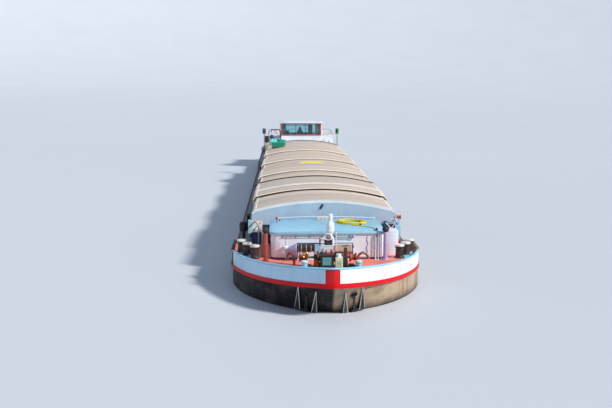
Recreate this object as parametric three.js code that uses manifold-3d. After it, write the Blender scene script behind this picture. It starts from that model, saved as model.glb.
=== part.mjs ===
// River barge: a self-propelled dry-cargo vessel with an arched hatch of sliding covers, at scale 1:2.
// Every size below is the full-size vessel's, in metres. The finished group is scaled to model millimetres.
// Frame: origin on the flat bottom at mid-length, +X to the bow, +Y to port, +Z up.
import * as THREE from 'three';
import { mergeVertices } from 'three/addons/utils/BufferGeometryUtils.js';
import Module from 'manifold-3d';

const wasm = await Module();
wasm.setup();

// Driving dimensions
const MODEL_MM_PER_METRE = 1000 / 2;
const GAP = 0.0006;
const RUNNING_GAP = 0.011;
const TIP = 33.5;
const BEAM_HALF = 4.1;
const HULL_HALF = 4.04;
const HOLD = { front: 25.1, aft: -16.0, half: 3.1, floor: 0.5 };
const SIDE_DECK = 2.62;
const RAMP = 3.0;
const PLATE = 0.03;
const BOW = { shoulder: 26.98, tip: 33.4, exponent: 1.456, rim: 3.12, stemRim: 3.6, deck: 3.0, stemDeck: 3.36, deckRise: 30.3 };
const STERN = { shoulder: -27.5, tip: -33.4, exponent: 2.3, deck: 3.05 };
const BAND = { height: 0.52, outer: 0.04, depth: 0.18, bulwark: 0.08 };
const BELT = { height: 0.18, depth: 0.26 };
const RAIL = { height: 0.07, depth: 0.15 };
const RUB_RAIL = { top: 0.02, height: 0.18 };
const COAMING = { inner: 3.17, outer: 3.27, top: 3.93, ledge: 3.37, ledgeThickness: 0.05, wall: 0.1 };
const COAMING_FRONT = HOLD.front + COAMING.wall;
const COAMING_AFT = HOLD.aft - COAMING.wall;
const COVER = { thickness: 0.05, skirt: 0.05, rib: 0.02, ribWidth: 0.1, segments: 12, lap: 0.35 };
const LOW_ARCH = { half: 3.26, edge: 4.53, crown: 4.98 };
const HIGH_ARCH = { half: 3.35, edge: 4.63, crown: 5.08 };
// Pairs of covers: front of the low one and of the high one behind it. Aft of the last the hatch is fixed.
const COVER_PAIRS = [[COAMING_FRONT, 21.2], [15.7, 11.75], [7.8, 3.85], [-0.1, -4.05]];
const COVERS_END = -8.0;
const HOUSE = { aft: 25.6, front: 28.78, half: 2.35, wall: 0.07, top: 4.1, roofEdge: 4.17, crown: 4.24, corner: 0.3 };
const WHEELHOUSE = { front: -23.0, aft: -25.62, half: 2.08, wall: 0.07, floor: 4.15, top: 6.26, roof: 6.4 };
const WINDOW = { half: 1.92, low: 5.14, high: 6.14, frame: 0.1 };
const AFT_HOUSE = { front: -25.7, aft: -31.0, half: 3.35, wall: 0.08, top: 4.72, roof: 4.8 };
const SHAFT = { z: 0.86, radius: 0.06, propeller: 0.66, station: -30.25 };
const RUDDER = { stock: -31.35, radius: 0.07, low: 0.2, high: 1.48 };

// Materials: colour, roughness, metalness
const FINISHES = {
  tar: [0x2c2d31, 0.7, 0.1],
  white: [0xf2f3f5, 0.45, 0.0],
  red: [0xc81a1e, 0.45, 0.0],
  lightBlue: [0x8fc8e2, 0.45, 0.0],
  salmon: [0xc9655a, 0.7, 0.0],
  navy: [0x1f4070, 0.5, 0.0],
  hatch: [0xb3a89b, 0.55, 0.4],
  platePale: [0xa5bdd2, 0.5, 0.0],
  deckGrey: [0x6b7688, 0.8, 0.1],
  mahogany: [0x8c3a26, 0.35, 0.0],
  glass: [0x3a8f9c, 0.05, 0.0],
  rust: [0x6b3a2a, 0.8, 0.2],
  machinery: [0x7a2c22, 0.6, 0.3],
  dinghy: [0x1f9c82, 0.4, 0.0],
  bronze: [0x9a7238, 0.35, 0.9],
  rope: [0xd8c832, 0.8, 0.0],
  black: [0x1a1a1c, 0.5, 0.1],
  green: [0x2f7a2f, 0.5, 0.0],
};

const barge = new THREE.Group();

// Solids
function outward(positions, index) {
  const corner = [0, 1, 2].map(() => new THREE.Vector3());
  let volume = 0;
  for (let i = 0; i < index.length; i += 3) {
    corner.forEach((point, k) => point.fromArray(positions, 3 * index[i + k]));
    volume += corner[0].dot(corner[1].cross(corner[2]));
  }
  if (volume > 0) return index;
  return index.reverse();
}

function solid(geometry) {
  const bare = geometry.clone();
  bare.deleteAttribute('normal');
  bare.deleteAttribute('uv');
  const welded = mergeVertices(bare, 1e-5);
  const positions = welded.attributes.position.array;
  const index = [];
  for (let i = 0; i < welded.index.count; i += 3) {
    const [a, b, c] = [0, 1, 2].map((k) => welded.index.getX(i + k));
    if (a !== b && b !== c && c !== a) index.push(a, b, c);
  }
  const triVerts = Uint32Array.from(outward(positions, index));
  return new wasm.Manifold(new wasm.Mesh({ numProp: 3, vertProperties: positions, triVerts }));
}

function toGeometry(body) {
  const mesh = body.getMesh();
  const geometry = new THREE.BufferGeometry();
  geometry.setAttribute('position', new THREE.BufferAttribute(mesh.vertProperties, 3));
  geometry.setIndex(new THREE.BufferAttribute(mesh.triVerts, 1));
  geometry.computeVertexNormals();
  return geometry;
}

const union = (bodies) => bodies.reduce((whole, body) => whole.add(body));

function add(name, finish, body) {
  const [color, roughness, metalness] = FINISHES[finish];
  const mesh = new THREE.Mesh(toGeometry(body), new THREE.MeshStandardMaterial({ color, roughness, metalness }));
  mesh.name = name;
  barge.add(mesh);
}

function box(x0, x1, y0, y1, z0, z1) {
  const geometry = new THREE.BoxGeometry(x1 - x0, y1 - y0, z1 - z0);
  geometry.translate((x0 + x1) / 2, (y0 + y1) / 2, (z0 + z1) / 2);
  return solid(geometry);
}

// An outline of [u, v] points pushed through from one depth to the other:
// 'yz' runs along X, 'xz' along Y and 'xy' along Z.
const PLANES = {
  yz: [[0, 1, 0], [0, 0, 1], [1, 0, 0]],
  xz: [[1, 0, 0], [0, 0, 1], [0, -1, 0]],
  xy: [[1, 0, 0], [0, 1, 0], [0, 0, 1]],
};

function prism(plane, points, from, to) {
  const shape = new THREE.Shape(points.map(([u, v]) => new THREE.Vector2(u, v)));
  const geometry = new THREE.ExtrudeGeometry(shape, { depth: to - from, bevelEnabled: false });
  const [across, up, through] = PLANES[plane].map((axis) => new THREE.Vector3(...axis));
  geometry.applyMatrix4(new THREE.Matrix4().makeBasis(across, up, through));
  geometry.translate(...through.multiplyScalar(plane === 'xz' ? -to : from).toArray());
  return solid(geometry);
}

// A body turned about Z, from a profile of [radius, height] points that starts and ends on the axis.
function turned(profile, x, y, segments = 16) {
  const geometry = new THREE.LatheGeometry(profile.map(([r, z]) => new THREE.Vector2(r, z)), segments);
  geometry.rotateX(Math.PI / 2);
  geometry.translate(x, y, 0);
  return solid(geometry);
}

// The same about an axle along Y, with the profile's heights as places along it.
function turnedAcross(profile, x, z, segments = 16) {
  const geometry = new THREE.LatheGeometry(profile.map(([r, y]) => new THREE.Vector2(r, y)), segments);
  geometry.translate(x, 0, z);
  return solid(geometry);
}

const post = (x, y, z0, z1, radius, segments = 12) =>
  turned([[0, z0], [radius, z0], [radius, z1], [0, z1]], x, y, segments);

const axle = (x, z, y0, y1, radius, segments = 12) =>
  turnedAcross([[0, y0], [radius, y0], [radius, y1], [0, y1]], x, z, segments);

function shaft(x0, x1, y, z, radius, segments = 12) {
  const geometry = new THREE.CylinderGeometry(radius, radius, x1 - x0, segments);
  geometry.rotateZ(Math.PI / 2);
  geometry.translate((x0 + x1) / 2, y, z);
  return solid(geometry);
}

// Radius of a faceted hole that clears a round pin or shaft by the gap.
const holeRadius = (radius, segments = 12) => (radius + GAP) / Math.cos(Math.PI / segments);

// Facets of the screw's and the rudder's bearings.
const FINE = 20;

function tube(points, radius, sides, steps) {
  const path = new THREE.CatmullRomCurve3(points.map((point) => new THREE.Vector3(...point)));
  const section = new THREE.Shape();
  for (let i = 0; i < sides; i++) {
    const turn = (2 * Math.PI * i) / sides;
    const [u, v] = [radius * Math.cos(turn), radius * Math.sin(turn)];
    if (i === 0) section.moveTo(u, v);
    else section.lineTo(u, v);
  }
  return solid(new THREE.ExtrudeGeometry(section, { steps, extrudePath: path, bevelEnabled: false }));
}

// A skin through rings of equal point counts, closed at both ends. Mirrored rings are capped by
// strips from side to side, so that a sloping deck keeps its slope; others by a fan.
function loft(rings, mirrored = false) {
  const count = rings[0].length;
  const index = [];
  const quad = (a, b, c, d) => index.push(a, b, c, a, c, d);
  for (let ring = 0; ring < rings.length - 1; ring++) {
    for (let i = 0; i < count; i++) {
      const next = (i + 1) % count;
      quad(ring * count + i, ring * count + next, (ring + 1) * count + next, (ring + 1) * count + i);
    }
  }
  const cap = (start, flip) => {
    const faces = [];
    if (mirrored) {
      for (let i = 0; i < (count - 3) / 2; i++) {
        faces.push([i, i + 1, count - 2 - i], [i, count - 2 - i, count - 1 - i]);
      }
      const middle = (count - 1) / 2;
      faces.push([middle - 1, middle, middle + 1]);
    } else {
      for (let i = 1; i < count - 1; i++) faces.push([0, i, i + 1]);
    }
    faces.forEach(([a, b, c]) => (flip ? index.push(start + a, start + c, start + b) : index.push(start + a, start + b, start + c)));
  };
  cap(0, true);
  cap((rings.length - 1) * count, false);
  const geometry = new THREE.BufferGeometry();
  geometry.setAttribute('position', new THREE.Float32BufferAttribute(rings.flat(2), 3));
  geometry.setIndex(index);
  return solid(geometry);
}

// Hull lines
const blend = (a, b, t) => a + (b - a) * t;

// Rim and deck heights: both rise towards the stem.
function rimHeight(x) {
  const along = THREE.MathUtils.clamp((x - BOW.shoulder) / (TIP - BOW.shoulder), 0, 1);
  return blend(BOW.rim, BOW.stemRim, along ** 2);
}

function deckHeight(x) {
  const along = THREE.MathUtils.clamp((x - BOW.deckRise) / (TIP - BOW.deckRise), 0, 1);
  return blend(BOW.deck, BOW.stemDeck, along ** 2);
}

function sideDeckHeight(x) {
  const forward = THREE.MathUtils.clamp((x - HOLD.front + RAMP) / RAMP, 0, 1);
  const aft = THREE.MathUtils.clamp((HOLD.aft + RAMP - x) / RAMP, 0, 1);
  return SIDE_DECK + forward * (BOW.deck - SIDE_DECK) + aft * (STERN.deck - SIDE_DECK);
}

// One end of a waterline: straight from the given station, then a superellipse from shoulder to tip,
// and back along the other side.
function outline({ half, shoulder, tip, exponent }, station, steps = 14) {
  const side = [[station, half]];
  for (let i = 0; i <= steps; i++) {
    const turn = (Math.PI / 2) * (i / steps);
    side.push([
      shoulder + (tip - shoulder) * Math.sin(turn) ** (2 / exponent),
      half * Math.cos(turn) ** (2 / exponent),
    ]);
  }
  side[steps + 1] = [tip, 0];
  const otherSide = side.slice(0, -1).reverse().map(([x, y]) => [x, -y]);
  return [...side, ...otherSide];
}

// Waterlines of the bow: height, half breadth, shoulder, stem and exponent. The last is the deck.
const BOW_LINES = [
  [0.0, 3.6, 25.4, 30.6, 1.6],
  [0.1, 3.86, 25.7, 31.0, 1.64],
  [0.35, 4.04, 26.0, 31.35, 1.7],
  [0.9, 4.04, 26.4, 31.8, 1.75],
  [1.7, 4.04, 26.76, 32.2, 1.767],
  [2.3, 4.04, 26.87, 32.75, 1.6],
  [2.9, 4.04, 26.98, 33.34, 1.456],
  [null, 4.04, 26.98, 33.4, 1.456],
];

// Waterlines of the stern: the run narrows under a flat counter that covers screw and rudder.
const STERN_LINES = [
  [0.0, 3.6, -21.5, -27.4, 1.5],
  [0.1, 3.86, -21.9, -27.8, 1.52],
  [0.35, 4.04, -22.4, -28.2, 1.55],
  [0.9, 4.04, -23.6, -28.9, 1.6],
  [1.56, 4.04, -25.4, -29.6, 1.8],
  [1.72, 4.04, -27.0, -32.7, 2.1],
  [2.3, 4.04, -27.4, -33.25, 2.3],
  [null, 4.04, -27.5, -33.4, 2.3],
];

function hullEnd(lines, station, deck, grow = 0) {
  const outwardTip = Math.sign(lines[0][3]) * grow;
  return loft(lines.map(([z, half, shoulder, tip, exponent]) =>
    outline({ half: half + grow, shoulder, tip: tip + outwardTip, exponent }, station)
      .map(([x, y]) => [x, y, z ?? deck(x) + grow])), true);
}

const hullFore = (grow = 0) => hullEnd(BOW_LINES, HOLD.front + GAP, deckHeight, grow);
const hullStern = (grow = 0) => hullEnd(STERN_LINES, HOLD.aft - GAP, () => STERN.deck, grow);

// A strake that runs round an end of the hull, between two heights that follow x, with its
// outer face set in from the beam by inset.
function strake(line, station, inset, depth, low, high) {
  const inward = Math.sign(line.tip);
  const outer = outline({ ...line, half: BEAM_HALF - inset, tip: inward * (TIP - inset) }, station);
  const inner = outline({ ...line, half: BEAM_HALF - inset - depth, tip: inward * (TIP - inset - depth) }, station);
  return loft(outer.map(([x, y], i) => {
    const [innerX, innerY] = inner[i];
    return [[x, y, low(x)], [x, y, high(x)], [innerX, innerY, high(x)], [innerX, innerY, low(x)]];
  }));
}

function hull() {
  add('hull_fore', 'tar', hullFore());
  const bottom = [[-3.6, 0], [3.6, 0], [3.86, 0.1], [4.04, 0.35], [4.04, HOLD.floor], [-4.04, HOLD.floor], [-4.04, 0.35], [-3.86, 0.1]];
  add('hull_bottom', 'tar', prism('yz', bottom, HOLD.aft, HOLD.front));
  const stations = [HOLD.aft, HOLD.aft + RAMP, HOLD.front - RAMP, HOLD.front];
  for (const [name, side] of [['port', 1], ['starboard', -1]]) {
    const block = (inner, outer, low, high) => loft(stations.map((x) =>
      [[inner, low(x)], [outer, low(x)], [outer, high(x)], [inner, high(x)]].map(([y, z]) => [x, side * y, z])));
    const tank = block(HOLD.half, HULL_HALF, () => HOLD.floor + GAP, sideDeckHeight);
    const railTop = (x) => sideDeckHeight(x) - RUB_RAIL.top;
    const rail = block(HULL_HALF - 0.05, BEAM_HALF, (x) => railTop(x) - RUB_RAIL.height, railTop);
    add(`hull_side_${name}`, 'tar', tank.add(rail));
  }
}

// Band, belt below it and rail on it. The last two overlap the band and are cut back by it.
function bowTrim() {
  const cutter = hullFore(GAP);
  const lap = 0.01;
  const rim = (offset) => (x) => rimHeight(x) + offset;
  const bandForm = (grow) =>
    strake(BOW, HOLD.front, BAND.outer - grow, BAND.depth + 2 * grow, rim(-BAND.height), rim(0));
  const room = bandForm(GAP);
  const inset = BAND.outer + BAND.bulwark;
  const inner = outline({ ...BOW, half: BEAM_HALF - inset, tip: TIP - inset }, HOLD.front);
  const layer = (lift) => inner.map(([x, y]) => [x, y, deckHeight(x) + lift]);
  const overDeck = loft([layer(PLATE), layer(1)], true);
  add('bow_band', 'white', bandForm(0).subtract(cutter).subtract(overDeck));
  const belt = strake(BOW, HOLD.front, 0, BELT.depth, rim(-BAND.height - BELT.height), rim(lap - BAND.height));
  add('bow_belt', 'red', belt.subtract(cutter).subtract(room.translate([0, 0, -GAP])));
  const rail = strake(BOW, HOLD.front, 0, RAIL.depth, rim(-lap), rim(RAIL.height));
  add('bow_rail', 'lightBlue', rail.subtract(room.translate([0, 0, GAP])));
}

// Flat seats on the sloping foredeck: x0, x1, y0, y1 and height.
const SEATS = {
  windlass: [31.1, 32.7, -1.4, 1.2, 3.24],
  mast: [30.42, 31.06, -0.32, 0.32, 3.14],
  racks: [28.94, 29.24, -1.35, 1.1, 3.06],
};

function foredeck() {
  const inset = BAND.outer + BAND.depth + 0.01;
  const edge = outline({ ...BOW, half: BEAM_HALF - inset, tip: TIP - inset }, HOLD.front + GAP);
  const layer = (lift) => edge.map(([x, y]) => [x, y, deckHeight(x) + lift]);
  const plate = loft([layer(-0.1), layer(PLATE)], true);
  const flatEdge = (z) => edge.map(([x, y]) => [x, y, z]);
  const room = loft([flatEdge(BOW.deck), flatEdge(BOW.stemRim)], true);
  const seats = Object.values(SEATS).map(([x0, x1, y0, y1, z]) => box(x0, x1, y0, y1, BOW.deck, z));
  const raised = union(seats).intersect(room);
  add('foredeck', 'salmon', plate.add(raised).subtract(hullFore(GAP)));
}

// Arched hatch
function arch({ half, edge, crown }, lift = 0) {
  const rise = crown - edge;
  const radius = (half ** 2 + rise ** 2) / (2 * rise);
  const centre = crown - radius;
  const sweep = Math.asin(half / radius);
  const points = [];
  for (let i = 0; i <= COVER.segments; i++) {
    const turn = sweep * (1 - (2 * i) / COVER.segments);
    points.push([(radius + lift) * Math.sin(turn), centre + (radius + lift) * Math.cos(turn)]);
  }
  return points;
}

function coverSection(shape) {
  const low = COAMING.top + GAP;
  const under = arch({ ...shape, half: shape.half - COVER.skirt }, 0).map(([y, z]) => [y, z - COVER.thickness]);
  const inner = shape.half - COVER.skirt;
  return [[shape.half, low], ...arch(shape), [-shape.half, low], [-inner, low], ...under.reverse(), [inner, low]];
}

function coverRib(shape, x) {
  const top = arch(shape, COVER.rib);
  const bottom = arch(shape, -COVER.thickness / 2).reverse();
  return prism('yz', [...top, ...bottom], x - COVER.ribWidth / 2, x + COVER.ribWidth / 2);
}

const coverBody = (shape, x0, x1, ribs) =>
  union([prism('yz', coverSection(shape), x0, x1), ...ribs.map((x) => coverRib(shape, x))]);

function hatchCovers() {
  COVER_PAIRS.forEach(([front, seam], pair) => {
    const next = pair + 1 < COVER_PAIRS.length ? COVER_PAIRS[pair + 1][0] : COVERS_END;
    const lowFront = front + (pair > 0 ? COVER.lap : -RUNNING_GAP);
    const covers = [
      [LOW_ARCH, seam - COVER.lap, lowFront, [front - 0.5, (front + seam) / 2, seam + 0.6]],
      [HIGH_ARCH, next + RUNNING_GAP, seam, [seam - 0.06, seam - 2.0, next + 0.07]],
    ];
    covers.forEach(([shape, x0, x1, ribs], level) => {
      add(`hatch_cover_${2 * pair + level + 1}`, 'hatch', coverBody(shape, x0, x1, ribs));
    });
  });
}

// The coaming stands on the side decks and carries the covers on its ledge.
const STAY = { first: -12.4, pitch: 2.1, count: 17, thickness: 0.04, foot: 3.5 };

function coaming() {
  const { inner, outer, top, ledge, ledgeThickness } = COAMING;
  for (const [name, side] of [['port', 1], ['starboard', -1]]) {
    const span = (y0, y1) => [Math.min(side * y0, side * y1), Math.max(side * y0, side * y1)];
    const foot = (x) => sideDeckHeight(THREE.MathUtils.clamp(x, HOLD.aft, HOLD.front)) + GAP;
    const stations = [HOLD.aft, HOLD.aft + RAMP, HOLD.front - RAMP, HOLD.front];
    const wall = prism('xz', [...stations.map((x) => [x, foot(x)]), [HOLD.front, top], [HOLD.aft, top]], ...span(inner, outer));
    const rail = box(HOLD.aft, HOLD.front, ...span(inner - 0.02, ledge), top - ledgeThickness, top);
    const stays = [];
    for (let i = 0; i < STAY.count; i++) {
      const x = STAY.first + i * STAY.pitch;
      const web = [[outer - 0.02, foot(x)], [STAY.foot, foot(x)], [ledge, top - 0.02], [outer - 0.02, top - 0.02]];
      stays.push(prism('yz', web.map(([y, z]) => [side * y, z]), x - STAY.thickness / 2, x + STAY.thickness / 2));
    }
    add(`coaming_${name}`, 'navy', union([wall, rail, ...stays]));
  }
  const across = (x0, x1, foot) => {
    const wall = box(x0, x1, -outer, outer, foot, top);
    const rail = box(x0, x1, -ledge, ledge, top - ledgeThickness, top);
    return wall.add(rail);
  };
  add('coaming_front', 'navy', across(HOLD.front + GAP, COAMING_FRONT, BOW.deck + PLATE + GAP));
  const board = (low, shape) => [[shape.half, low], ...arch(shape, COVER.rib), [-shape.half, low]];
  const front = prism('yz', board(top - 0.02, LOW_ARCH), COAMING_FRONT + GAP, COAMING_FRONT + 0.06);
  add('hatch_front_board', 'platePale', front);
  const aftBoard = prism('yz', board(top - 0.3, LOW_ARCH), COAMING_AFT - 0.06, COAMING_AFT);
  add('coaming_aft', 'navy', across(COAMING_AFT, HOLD.aft - GAP, STERN.deck + GAP).add(aftBoard));
}

// A door leaf with two hinge barrels outside its own face. The axis stands at hinge [x, y];
// the leaf runs from it along X or Y, and face says which way is out.
const DOOR = { thickness: 0.05, barrel: 0.02, knuckle: 0.12 };

function doorLeaf({ hinge, along, length, face, low, high, pane }) {
  const [hx, hy] = hinge;
  const start = RUNNING_GAP;
  const end = length - RUNNING_GAP;
  const surface = DOOR.barrel + GAP;
  const place = (u0, u1, v0, v1, z0, z1) => {
    // u runs along the leaf from the hinge, v outward from the wall's face
    const [uAxis, vAxis] = along === 'x' ? [0, 1] : [1, 0];
    const [ends, depths] = [[u0, u1], [v0 - surface, v1 - surface]];
    const span = [[], []];
    span[uAxis] = ends.map((u) => hinge[uAxis] + u).sort((a, b) => a - b);
    span[vAxis] = depths.map((v) => hinge[vAxis] + face * v).sort((a, b) => a - b);
    return box(...span[0], ...span[1], z0, z1);
  };
  const way = Math.sign(length);
  const run = (u) => way * u;
  const reach = Math.abs(length);
  let leaf = place(run(start), run(reach - start), -DOOR.thickness, 0, low + start, high - start);
  if (pane) leaf = leaf.subtract(place(run(pane.margin), run(reach - pane.margin), -0.2, 0.2, pane.low, pane.high));
  const barrels = [0.2, 0.8].map((share) => {
    const z = blend(low, high, share);
    const strap = (u0, v0) => place(run(u0), run(reach * 0.6), v0, DOOR.barrel, z - 0.03, z + 0.03);
    const knuckle = post(hx, hy, z - DOOR.knuckle / 2, z + DOOR.knuckle / 2, DOOR.barrel, 10);
    return union([strap(start, -0.01), strap(0, GAP * 3), knuckle]);
  });
  return union([leaf, ...barrels]);
}

const roundedPlan = (x0, x1, half, radius) => {
  const points = [[x0, -half]];
  for (const [side, from] of [[-1, -90], [1, 0]]) {
    for (let i = 0; i <= 4; i++) {
      const turn = THREE.MathUtils.degToRad(from + (90 * i) / 4);
      points.push([x1 - radius + radius * Math.cos(turn), side * (half - radius) + radius * Math.sin(turn)]);
    }
  }
  return [...points, [x0, half]];
};

function bowHouse() {
  const { aft, front, half, wall, top, roofEdge, crown, corner } = HOUSE;
  const foot = BOW.deck + PLATE + GAP;
  const door = { x0: 26.0, x1: 26.65, low: 3.16, high: 4.0 };
  const shell = prism('xy', roundedPlan(aft, front, half, corner), foot, top);
  const inside = prism('xy', roundedPlan(aft + wall, front - wall, half - wall, corner - wall), foot - 1, top + 1);
  const doorway = box(door.x0, door.x1, half - 0.3, half + 0.3, door.low, door.high);
  add('bow_house', 'white', shell.subtract(inside).subtract(doorway));
  const camber = arch({ half: half + 0.07, edge: roofEdge, crown });
  const slab = prism('yz', [...camber, [-half - 0.07, top + GAP], [half + 0.07, top + GAP]], aft - 0.06, front + 0.08);
  const plan = prism('xy', roundedPlan(aft - 0.06, front + 0.08, half + 0.07, corner), top - 1, crown + 1);
  add('bow_house_roof', 'lightBlue', slab.intersect(plan));
  add('bow_house_door', 'white', doorLeaf({
    hinge: [door.x0, half + DOOR.barrel + GAP], along: 'x', length: door.x1 - door.x0, face: 1, low: door.low, high: door.high,
  }));
  add('port_locker', 'white', box(27.25, 28.0, 2.6, 3.04, foot, 4.08));
}

// Foredeck fittings
function bollardGroup(name, side) {
  const places = [[27.3, 3.62], [28.0, 3.36], [28.55, 3.02]];
  const foot = BOW.deck + PLATE + GAP;
  const top = foot + 0.57;
  const plateHeight = 0.04;
  const bodies = places.map(([x, y]) => turned([
    [0, foot], [0.21, foot], [0.21, foot + 0.05], [0.17, foot + 0.09], [0.165, top - 0.12],
    [0.2, top - 0.09], [0.2, top - 0.02], [0.17, top], [0, top]], x, side * y, 12));
  const plate = [[27.06, 3.42], [28.05, 3.14], [28.42, 2.84], [28.75, 3.24], [28.05, 3.6], [27.35, 3.82], [27.1, 3.82]];
  const bed = prism('xy', plate.map(([x, y]) => [x, side * y]), foot, foot + plateHeight);
  add(name, 'rust', union([bed, ...bodies]));
}

function bitts() {
  const foot = SEATS.windlass[4] + GAP;
  const bodies = [[32.42, -1.05], [32.42, 0.97]].map(([x, y]) => turned([
    [0, foot], [0.15, foot], [0.15, foot + 0.04], [0.11, foot + 0.06], [0.11, foot + 0.36],
    [0.135, foot + 0.39], [0.135, foot + 0.47], [0, foot + 0.47]], x, y, 12));
  add('bow_bitts', 'lightBlue', union([box(32.3, 32.54, -1.13, 1.05, foot, foot + 0.03), ...bodies]));
}

const WINDLASS = { x: 31.55, z: 3.68, shaft: 0.05 };

function windlass() {
  const foot = SEATS.windlass[4] + GAP;
  const { x, z, shaft: radius } = WINDLASS;
  const bearing = axle(x, z, -2, 2, holeRadius(radius));
  const cheeks = [-0.62, -0.12, 0.42].map((y) => prism('xz', [
    [x - 0.3, foot], [x + 0.3, foot], [x + 0.12, z + 0.12], [x - 0.12, z + 0.12]], y - 0.04, y + 0.04));
  const bed = box(31.18, 32.24, -1.3, 1.0, foot, foot + 0.04);
  const motor = box(31.93, 32.2, -0.43, 0.03, foot, 3.85);
  const gearbox = box(31.93, 32.18, 0.1, 0.4, foot, 3.77);
  const brake = box(31.2, 31.32, 0.5, 0.62, foot, 4.02);
  add('windlass_frame', 'machinery', union([bed, ...cheeks, motor, gearbox, brake]).subtract(bearing));
  const drums = turnedAcross([
    [0, -1.24], [0.17, -1.24], [0.17, -1.2], [0.12, -1.16], [0.11, -1.02], [0.17, -0.96], [0.17, -0.92],
    [radius, -0.92], [radius, -0.56], [0.24, -0.56], [0.24, -0.5], [0.15, -0.48], [0.15, -0.24], [0.28, -0.22],
    [0.28, -0.18], [radius, -0.18], [radius, -0.04], [0.3, -0.04], [0.3, 0.04], [0.17, 0.06], [0.17, 0.3],
    [0.24, 0.32], [0.24, 0.36], [radius, 0.36], [radius, 0.68], [0.17, 0.68], [0.17, 0.72], [0.11, 0.78],
    [0.12, 0.88], [0.17, 0.92], [0.17, 0.96], [0, 0.96]], x, z, 14);
  add('windlass_drums', 'machinery', drums);
}

function deckRacks() {
  const foot = SEATS.racks[4] + GAP;
  const [back, front] = [28.98, 29.16];
  const frame = (y0, y1, high) => box(back, front, y0, y1, foot, high)
    .subtract(box(back + 0.06, front + 1, y0 + 0.08, y1 - 0.08, high - 0.36, high - 0.06));
  const base = box(back - 0.02, front + 0.02, -1.28, 1.02, foot, foot + 0.06);
  add('deck_racks', 'navy', union([base, frame(-1.28, -0.3, 3.78), frame(0.2, 1.02, 3.82)]));
}

// The mast hinges on a pin between two cheeks.
const MAST = { x: 30.75, pin: 3.42, top: 5.24, pinRadius: 0.035 };

function foremast() {
  const foot = SEATS.mast[4] + GAP;
  const { x, pin, top, pinRadius } = MAST;
  const cheek = (y0, y1) => box(x - 0.1, x + 0.1, y0, y1, foot, pin + 0.1);
  const bracket = union([box(x - 0.2, x + 0.2, -0.24, 0.24, foot, foot + 0.04), cheek(0.1, 0.14), cheek(-0.14, -0.1)]);
  add('foremast_foot', 'white', bracket.subtract(axle(x, pin, -1, 1, holeRadius(pinRadius))));
  const column = turned([
    [0, pin - 0.16], [0.07, pin - 0.16], [0.065, 3.92], [0.065, 3.96], [0.15, 3.98], [0.15, 4.3], [0.09, 4.34],
    [0.075, 4.42], [0.15, 4.56], [0.15, 4.8], [0.12, 4.88], [0.07, 4.98], [0.085, 5.06], [0.085, top - 0.04],
    [0.05, top], [0, top]], x, 0, 12);
  const boss = axle(x, pin, -0.1 + RUNNING_GAP, 0.1 - RUNNING_GAP, 0.09);
  add('foremast', 'white', union([column, boss, axle(x, pin, -0.16, 0.16, pinRadius)]));
}

function ventPost(name, x, y) {
  const foot = BOW.deck + PLATE + GAP;
  const [radius, ball] = [0.09, 0.14];
  const profile = [[0, foot], [0.14, foot], [0.14, foot + 0.04], [radius, foot + 0.05], [radius, 4.2]];
  for (let i = 1; i <= 8; i++) {
    const turn = Math.PI * (0.2 + (0.8 * i) / 8);
    profile.push([i === 8 ? 0 : ball * Math.sin(turn), 4.31 - ball * Math.cos(turn)]);
  }
  add(name, 'rust', turned(profile, x, y, 12));
}

// Stockless anchors, housed flukes up against the flare of the bow.
function bowSurface(y, z) {
  const above = BOW_LINES.findIndex(([height]) => height === null || height > z);
  const [low, high] = [BOW_LINES[above - 1], BOW_LINES[above]];
  const t = (z - low[0]) / (high[0] - low[0]);
  const [, half, shoulder, tip, exponent] = low.map((value, i) => blend(value, high[i], t));
  const x = shoulder + (tip - shoulder) * (1 - (Math.abs(y) / half) ** exponent) ** (1 / exponent);
  return new THREE.Vector3(x, y, z);
}

const ANCHOR = { z: 2.14, spread: 0.35, fluke: 0.82, thickness: 0.12 };

function anchor(name, y) {
  const { spread, fluke, thickness } = ANCHOR;
  const place = bowSurface(y, ANCHOR.z);
  const up = bowSurface(y, ANCHOR.z + 0.3).sub(bowSurface(y, ANCHOR.z - 0.3)).normalize();
  const across = bowSurface(y + 0.3, ANCHOR.z).sub(bowSurface(y - 0.3, ANCHOR.z)).normalize();
  const out = across.clone().cross(up).normalize();
  const trueAcross = up.clone().cross(out);
  const onHull = new THREE.Matrix4().makeBasis(trueAcross, up, out).setPosition(place);
  const half = fluke / 2;
  const piece = (points, from, to) => {
    const shape = new THREE.Shape(points.map(([u, v]) => new THREE.Vector2(u, v)));
    const geometry = new THREE.ExtrudeGeometry(shape, { depth: to - from, bevelEnabled: false });
    geometry.translate(0, 0, from);
    geometry.applyMatrix4(onHull);
    return solid(geometry);
  };
  const flukes = [-1, 1].map((way) => piece([
    [way * (spread - 0.19), -half], [way * (spread + 0.1), -half], [way * (spread + 0.08), -half + 0.3],
    [way * spread, half], [way * (spread - 0.13), -half + 0.25]], -0.1, thickness));
  const crown = piece([[-spread - 0.12, -half - 0.06], [spread + 0.12, -half - 0.06], [spread, -half + 0.1], [-spread, -half + 0.1]], -0.1, thickness + 0.06);
  const shank = piece([[-0.07, -half], [0.07, -half], [0.05, half - 0.05], [-0.05, half - 0.05]], -0.1, thickness);
  add(name, 'black', union([...flukes, crown, shank]).subtract(hullFore(GAP)));
}

// A rope made fast to a cleat on the roof and coiled down: a ring, and the tail that leads to it.
const ROPE = { x: 26.66, y: 1.15, coil: 0.54, width: 0.16, height: 0.1, radius: 0.02 };

const roofHeight = (y) => {
  const half = HOUSE.half + 0.07;
  const rise = HOUSE.crown - HOUSE.roofEdge;
  const radius = (half ** 2 + rise ** 2) / (2 * rise);
  return HOUSE.crown - radius + Math.sqrt(radius ** 2 - y ** 2);
};

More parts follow.
